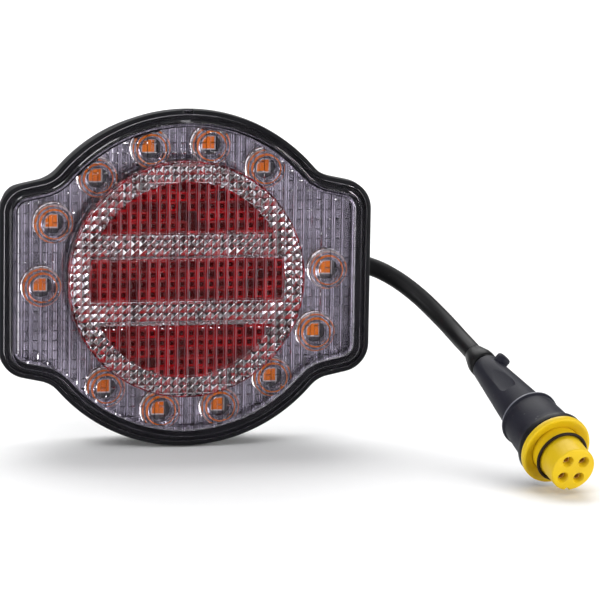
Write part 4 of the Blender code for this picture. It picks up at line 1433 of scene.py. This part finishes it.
# --- plug ---------------------------------------------------------------------------------------
@dataclass
class Plug:
    """The round four-way plug: collar, tapered boot with a knob, turning coupling and yellow nose."""

    axis: Vector = field(default_factory=lambda: Vector((0.2233, -0.9143, -0.3378)).normalized())
    turn: float = math.radians(-11)
    collar_length: float = 0.0096
    collar_rear: float = 0.0038
    collar_front: float = 0.0053
    boot_rear: float = 0.0051
    boot_front: float = 0.0088
    sleeve_rear: float = 0.0472
    sleeve_front: float = 0.0650
    sleeve_rear_radius: float = 0.0108
    sleeve_front_radius: float = 0.0114
    sleeve_flare: float = 0.0120
    seal_thickness: float = 0.0028
    seal_radius: float = 0.0131
    ring_radius: float = 0.0134
    ring_thickness: float = 0.0022
    ring_dish: float = 0.0007
    nose_radius: float = 0.0085
    nose_length: float = 0.0134
    base_radius: float = 0.0092
    base_length: float = 0.0032
    nose_seal: float = 0.0012
    pin_circle: float = 0.0046
    pin_hole: float = 0.0016
    hole_depth: float = 0.0100
    key_radius: float = 0.0011
    knob_radius: float = 0.0028
    knob_reach: float = 0.0082
    knob_place: float = 0.0150
    knob_angle: float = math.radians(62)
    hollow_way: Vector = field(default_factory=lambda: Vector((-0.3, -0.5, 0.6)))
    hollow_place: float = 0.0270
    hollow_size: tuple[float, float, float] = (0.0011, 0.0042, 0.0110)

    def frame(self) -> Matrix:
        """The plug's frame: origin at the lead's end, +Z along the plug."""
        return axis_frame(Vector(LEAD.route[-1]), self.axis, self.turn)

    def build(self) -> list[bpy.types.Object]:
        """Builds the plug.

        Returns:
            Its pieces.
        """
        boot_end = self.sleeve_front - 0.0045
        ring_rear = self.sleeve_front + GAP + self.seal_thickness + GAP
        ring_front = ring_rear + self.ring_thickness
        nose_tip = ring_front + self.nose_length
        pieces = [self.collar(), self.boot(boot_end), self.sleeve()]
        pieces += [self.seal(), self.ring(ring_rear, ring_front)]
        pieces += [self.insert(boot_end + GAP, ring_rear, ring_front, nose_tip), self.oring(ring_front)]
        pieces += [self.contact(number, nose_tip) for number in range(4)]
        return pieces

    def turned(self, name: str, profile: list[tuple[float, float]], sides: int = 64) -> bpy.types.Object:
        """A turned solid on the plug's axis."""
        return solid(name, spun(profile, sides), self.frame())

    def collar(self) -> bpy.types.Object:
        """The moulded collar where the lead enters the plug."""
        length, front = self.collar_length, self.collar_front
        profile = [(0, GAP), (self.collar_rear - 0.0003, GAP), (self.collar_rear, GAP + 0.0004)]
        profile += [(front - 0.0004, length - 0.0048), (front - 0.0001, length - 0.0036)]
        profile += [(front, length - 0.0024), (front, length - 0.0009)]
        profile += [(front - 0.0002, length - 0.0004), (front - 0.0008, length), (0, length)]
        piece = self.turned("plug_strain_collar", profile, 48)
        return fitted(piece, LEAD_RUBBER, Body.LAMP, ("plug_collar",), 40.0)

    def boot(self, end: float) -> bpy.types.Object:
        """The tapered boot with its knob and an oval thumb hollow."""
        rear = self.collar_length + GAP
        shoulder = self.sleeve_rear
        profile = [(0, rear), (self.boot_rear - 0.0004, rear), (self.boot_rear, rear + 0.0005)]
        profile += [(self.boot_rear + 0.0002, rear + 0.0012)]
        profile += [(self.boot_front, shoulder - 0.0006), (self.boot_front, shoulder + 0.0020)]
        profile += [(self.boot_front - 0.0008, shoulder + 0.0028), (self.boot_front - 0.0008, end)]
        profile += [(0, end)]
        piece = self.turned("plug_boot_body", profile)
        reach, radius = self.knob_reach, self.knob_radius
        knob = [(0, reach / 4), (radius + 0.0004, reach / 4), (radius, reach * 0.62)]
        knob += [(radius, reach - 0.0009), (radius - 0.0003, reach - 0.0003)]
        knob += [(radius - 0.0009, reach), (0, reach)]
        way = Matrix.Translation((0, 0, self.knob_place)) @ Matrix.Rotation(self.knob_angle, 4, "Z")
        stand = self.frame() @ way @ Matrix.Rotation(math.pi / 2, 4, "Y")
        carve(piece, solid("knob", spun(knob, 32), stand), Cut.JOIN)
        carve(piece, self.hollow(), Cut.AWAY)
        return fitted(piece, PLUG_RUBBER, Body.LAMP, ("plug_boot",), 40.0)

    def hollow(self) -> bpy.types.Object:
        """The cutter of the oval thumb hollow, sunk into the boot's side."""
        mesh = bmesh.new()
        bmesh.ops.create_uvsphere(mesh, u_segments=48, v_segments=24, radius=1.0)
        bmesh.ops.scale(mesh, vec=self.hollow_size, verts=mesh.verts[:])
        out = (self.hollow_way - self.axis * self.hollow_way.dot(self.axis)).normalized()
        share = self.hollow_place / self.sleeve_rear
        radius = self.boot_rear + (self.boot_front - self.boot_rear) * share
        turn = Matrix((out, self.axis.cross(out), self.axis)).transposed().to_4x4()
        middle = Vector(LEAD.route[-1]) + self.axis * self.hollow_place + out * radius
        return solid("hollow", outward(mesh), Matrix.Translation(middle) @ turn)

    def sleeve(self) -> bpy.types.Object:
        """The grip sleeve of the coupling, with a raised rear lip whose outer faces get a lighter rubber as
        a painted highlight.
        """
        bore = self.boot_front + GAP
        rear, front = self.sleeve_rear, self.sleeve_front
        wide, flare = self.sleeve_rear_radius, self.sleeve_flare
        profile = [(bore, rear + 0.0008), (bore + 0.0006, rear), (wide - 0.0008, rear)]
        profile += [(wide + 0.0001, rear + 0.0002), (wide + 0.0003, rear + 0.0006)]
        profile += [(wide + 0.0003, rear + 0.0011)]
        profile += [(wide + 0.0001, rear + 0.0015), (wide - 0.0003, rear + 0.0019)]
        profile += [(self.sleeve_front_radius, front - 0.0032), (flare - 0.0002, front - 0.0006)]
        profile += [(flare, front - 0.0002), (flare - 0.0002, front), (bore, front)]
        mesh = spun(profile, 96, ring=True)
        # The lip's outer faces take the second material, which is a painted highlight.
        for face in mesh.faces:
            middle = face.calc_center_median()
            lip = rear < middle.z < rear + 0.0013
            face.material_index = 1 if lip and middle.xy.length > wide else 0
        piece = solid("coupling_grip", mesh, self.frame())
        fitted(piece, PLUG_RUBBER, Body.COUPLING, ("coupling_sleeve",), 40.0)
        piece.data.materials.append(material_of(PLUG_LIP_HIGHLIGHT))
        return piece

    def seal(self) -> bpy.types.Object:
        """The flat seal between the sleeve and the yellow ring."""
        low = self.sleeve_front + GAP
        high = low + self.seal_thickness
        inner = self.base_radius + GAP
        edge = self.seal_radius
        profile = [(inner, low), (edge - 0.0004, low), (edge - 0.0001, low + 0.0002), (edge, low + 0.0005)]
        profile += [(edge, high - 0.0005), (edge - 0.0001, high - 0.0002)]
        profile += [(edge - 0.0004, high), (inner, high)]
        piece = solid("coupling_seal", spun(profile, 96, ring=True), self.frame())
        return fitted(piece, LEAD_RUBBER, Body.COUPLING, ("flange_seal",))

    def ring(self, rear: float, front: float) -> bpy.types.Object:
        """The yellow ring, slightly dished in front."""
        inner = self.base_radius + GAP / 4
        radius = self.ring_radius
        profile = [(inner, rear), (radius - 0.0005, rear), (radius - 0.0001, rear + 0.0002)]
        profile += [(radius, rear + 0.0006), (radius, front - 0.0007), (radius - 0.0002, front - 0.0002)]
        profile += [(radius - 0.0007, front), (radius - 0.0012, front), (radius - 0.0016, front - 0.0003)]
        profile += [(inner + 0.0004, front - self.ring_dish), (inner, front - self.ring_dish - 0.0004)]
        piece = solid("coupling_ring_yellow", spun(profile, 96, ring=True), self.frame())
        return fitted(piece, PLUG_YELLOW, Body.COUPLING, ("coupling_ring",), 40.0)

    def pin_places(self) -> list[tuple[float, float]]:
        """The four contacts' places across the nose."""
        half = self.pin_circle / math.sqrt(2)
        return [(-half, half), (half, half), (-half, -half), (half, -half)]

    def insert(self, rear: float, ring_rear: float, ring_front: float, tip: float) -> bpy.types.Object:
        """The yellow nose with its thicker foot, four flared holes and a keyway."""
        radius, foot = self.nose_radius, self.base_radius
        step = ring_front + self.base_length
        turn = [math.radians(90) * part / 4 for part in range(5)]
        profile = [(0, rear), (radius, rear), (radius, ring_rear), (foot, ring_rear)]
        profile += [(foot, step - 0.0003), (foot - 0.0003, step), (radius, step)]
        profile += [(radius - 0.0006 * (1 - math.cos(a)), tip - 0.0006 * (1 - math.sin(a))) for a in turn]
        piece = self.turned("plug_nose", profile + [(0, tip)], 80)
        mouth = self.pin_hole + 0.0006
        flare = [(0, tip - self.hole_depth), (self.pin_hole, tip - self.hole_depth)]
        flare += [(self.pin_hole, tip - 0.0010), (mouth, tip), (mouth, tip + 0.0002), (0, tip + 0.0002)]
        tools = bmesh.new()
        for x, y in self.pin_places():
            merged(tools, spun(flare, 32), Matrix.Translation((x, y, 0)))
        key = spun(rod_profile(self.key_radius, step + self.nose_seal + 2 * GAP, tip + 0.001), 24)
        merged(tools, key, Matrix.Translation((0, -radius, 0)))
        carve(piece, solid("holes", tools, self.frame()), Cut.AWAY)
        return fitted(piece, PLUG_YELLOW, Body.LAMP, ("plug_insert",), 32.0)

    def oring(self, ring_front: float) -> bpy.types.Object:
        """The round seal at the nose's foot."""
        middle = self.nose_radius + GAP + self.nose_seal / 2
        height = ring_front + self.base_length + GAP + self.nose_seal / 2
        offset = self.nose_seal / 2
        turn = [2 * math.pi * step / 14 for step in range(14)]
        profile = [(middle + offset * math.cos(a), height + offset * math.sin(a)) for a in turn]
        piece = solid("nose_oring", spun(profile, 72, ring=True), self.frame())
        return fitted(piece, SEAL_RUBBER, Body.LAMP, ("nose_seal",))

    def contact(self, number: int, tip: float) -> bpy.types.Object:
        """One socket contact: a brass tube with a rounded mouth."""
        outer = self.pin_hole - GAP
        inner = outer - 0.0004
        low, high = tip - self.hole_depth + GAP, tip - 0.0018
        profile = [(inner, low), (outer, low), (outer, high - 0.0002), (outer - 0.0001, high)]
        profile += [(inner + 0.0001, high), (inner, high - 0.0002)]
        x, y = self.pin_places()[number]
        place = self.frame() @ Matrix.Translation((x, y, 0))
        node = f"contact_{number + 1}"
        piece = solid(f"{node}_tube", spun(profile, 28, ring=True), place)
        return fitted(piece, BRASS, Body.LAMP, (node,))


LEAD = Lead()
PLUG = Plug()


# --- studio -------------------------------------------------------------------------------------
WORLD_STRENGTH = 0.24


@dataclass
class Studio:
    """Camera, soft lights and a plain pale floor that curves up behind the lamp."""

    azimuth: float = math.radians(-9.6)
    elevation: float = math.radians(9.6)
    roll: float = math.radians(0.65)
    distance: float = 1.5
    lens: float = 240.9
    look_at: Vector = field(default_factory=lambda: Vector((0, -0.0242, 0)))
    aim: tuple[float, float] = (0.04285, -0.00822)

    def build(self) -> None:
        """Sets up the studio."""
        self.camera()
        self.floor()
        self.lights()
        bpy.context.scene.view_settings.view_transform = "Standard"

    def camera(self) -> None:
        """Places the camera with a long lens, a little left of and above the lamp's axis."""
        level = math.cos(self.elevation)
        back = Vector(
            (math.sin(self.azimuth) * level, -math.cos(self.azimuth) * level, math.sin(self.elevation))
        )
        right = Vector((math.cos(self.azimuth), math.sin(self.azimuth), 0))
        up = back.cross(right)
        side = right * math.cos(self.roll) + up * math.sin(self.roll)
        rise = up * math.cos(self.roll) - right * math.sin(self.roll)
        away = (back * self.distance - side * self.aim[0] - rise * self.aim[1]).normalized()
        side = (side - away * side.dot(away)).normalized()
        turn = Matrix((side, away.cross(side), away)).transposed().to_4x4()
        data = bpy.data.cameras.new("camera")
        data.lens = self.lens
        data.sensor_width = 36.0
        data.clip_end = 20.0
        made = bpy.data.objects.new("camera", data)
        made.matrix_world = Matrix.Translation(self.look_at + back * self.distance) @ turn
        bpy.context.scene.collection.objects.link(made)
        bpy.context.scene.camera = made

    def floor(self) -> None:
        """Builds the floor, which rises behind the lamp in a wide curve."""
        level = CAD_BOX[0].z - 0.0005
        mesh = bmesh.new()
        near, far, tall, bend = -6.0, 4.2, 3.0, 1.2
        centre = Vector((far - bend, level + bend))
        curve = arc(centre, bend, -math.pi / 2, 0.0, 14)
        line = [(near, level)] + curve + [(far, level + tall)]
        verts = [mesh.verts.new((-6.0, y, z)) for y, z in line]
        edges = [mesh.edges.new(pair) for pair in zip(verts, verts[1:])]
        grown = bmesh.ops.extrude_edge_only(mesh, edges=edges)["geom"]
        fresh = [item for item in grown if isinstance(item, bmesh.types.BMVert)]
        bmesh.ops.translate(mesh, vec=(12.0, 0, 0), verts=fresh)
        sweep = solid("studio_sweep", mesh)
        smooth(sweep, 60.0)
        sweep.data.materials.append(material_of(STUDIO_FLOOR))

    def lights(self) -> None:
        """Adds the soft lights and an even pale surrounding."""
        self.panel("key", (-0.9, -1.3, 1.5), (0.0, 0.0, 0.0), 1.1, 10.5)
        self.panel("fill", (1.4, -1.5, 0.35), (0.0, 0.0, 0.0), 0.9, 22.0)
        self.panel("left strip", (-1.3, -0.7, 0.15), (0.0, 0.0, 0.0), 0.7, 9.0)
        self.panel("right strip", (1.3, -0.7, 0.15), (0.0, 0.0, 0.0), 0.7, 7.0)
        self.panel("top", (0.2, 0.1, 1.6), (0.0, 0.0, 0.0), 1.2, 4.0)
        self.panel("backdrop", (0.0, 1.6, 1.8), (0.0, 1.2, -0.06), 2.4, 66.0)
        world = bpy.data.worlds.new("studio")
        world.use_nodes = True
        shade = world.node_tree.nodes["Background"].inputs
        shade["Color"].default_value = (0.86, 0.87, 0.90, 1.0)
        shade["Strength"].default_value = WORLD_STRENGTH
        bpy.context.scene.world = world

    def panel(
        self,
        name: str,
        place: tuple[float, float, float],
        target: tuple[float, float, float],
        size: float,
        power: float,
    ) -> None:
        """Adds one square soft light.

        Args:
            name: its name.
            place: where it stands.
            target: the point it faces.
            size: its side.
            power: its power in watts.
        """
        data = bpy.data.lights.new(name, "AREA")
        data.size = size
        data.energy = power
        made = bpy.data.objects.new(name, data)
        made.location = place
        aim = Vector(target) - Vector(place)
        made.rotation_euler = aim.to_track_quat("-Z", "Y").to_euler()
        bpy.context.scene.collection.objects.link(made)


def main() -> None:
    logging.basicConfig(level=logging.INFO, format="%(name)s: %(message)s")
    Studio().build()
    cable = LEAD.build()
    plug = PLUG.build()
    Housing().build()
    ClearLens().build()
    RedLens().build()
    Optics().build()
    LightSources().build()
    InnerParts().build()
    Fixings().build()


if __name__ == "__main__":
    main()
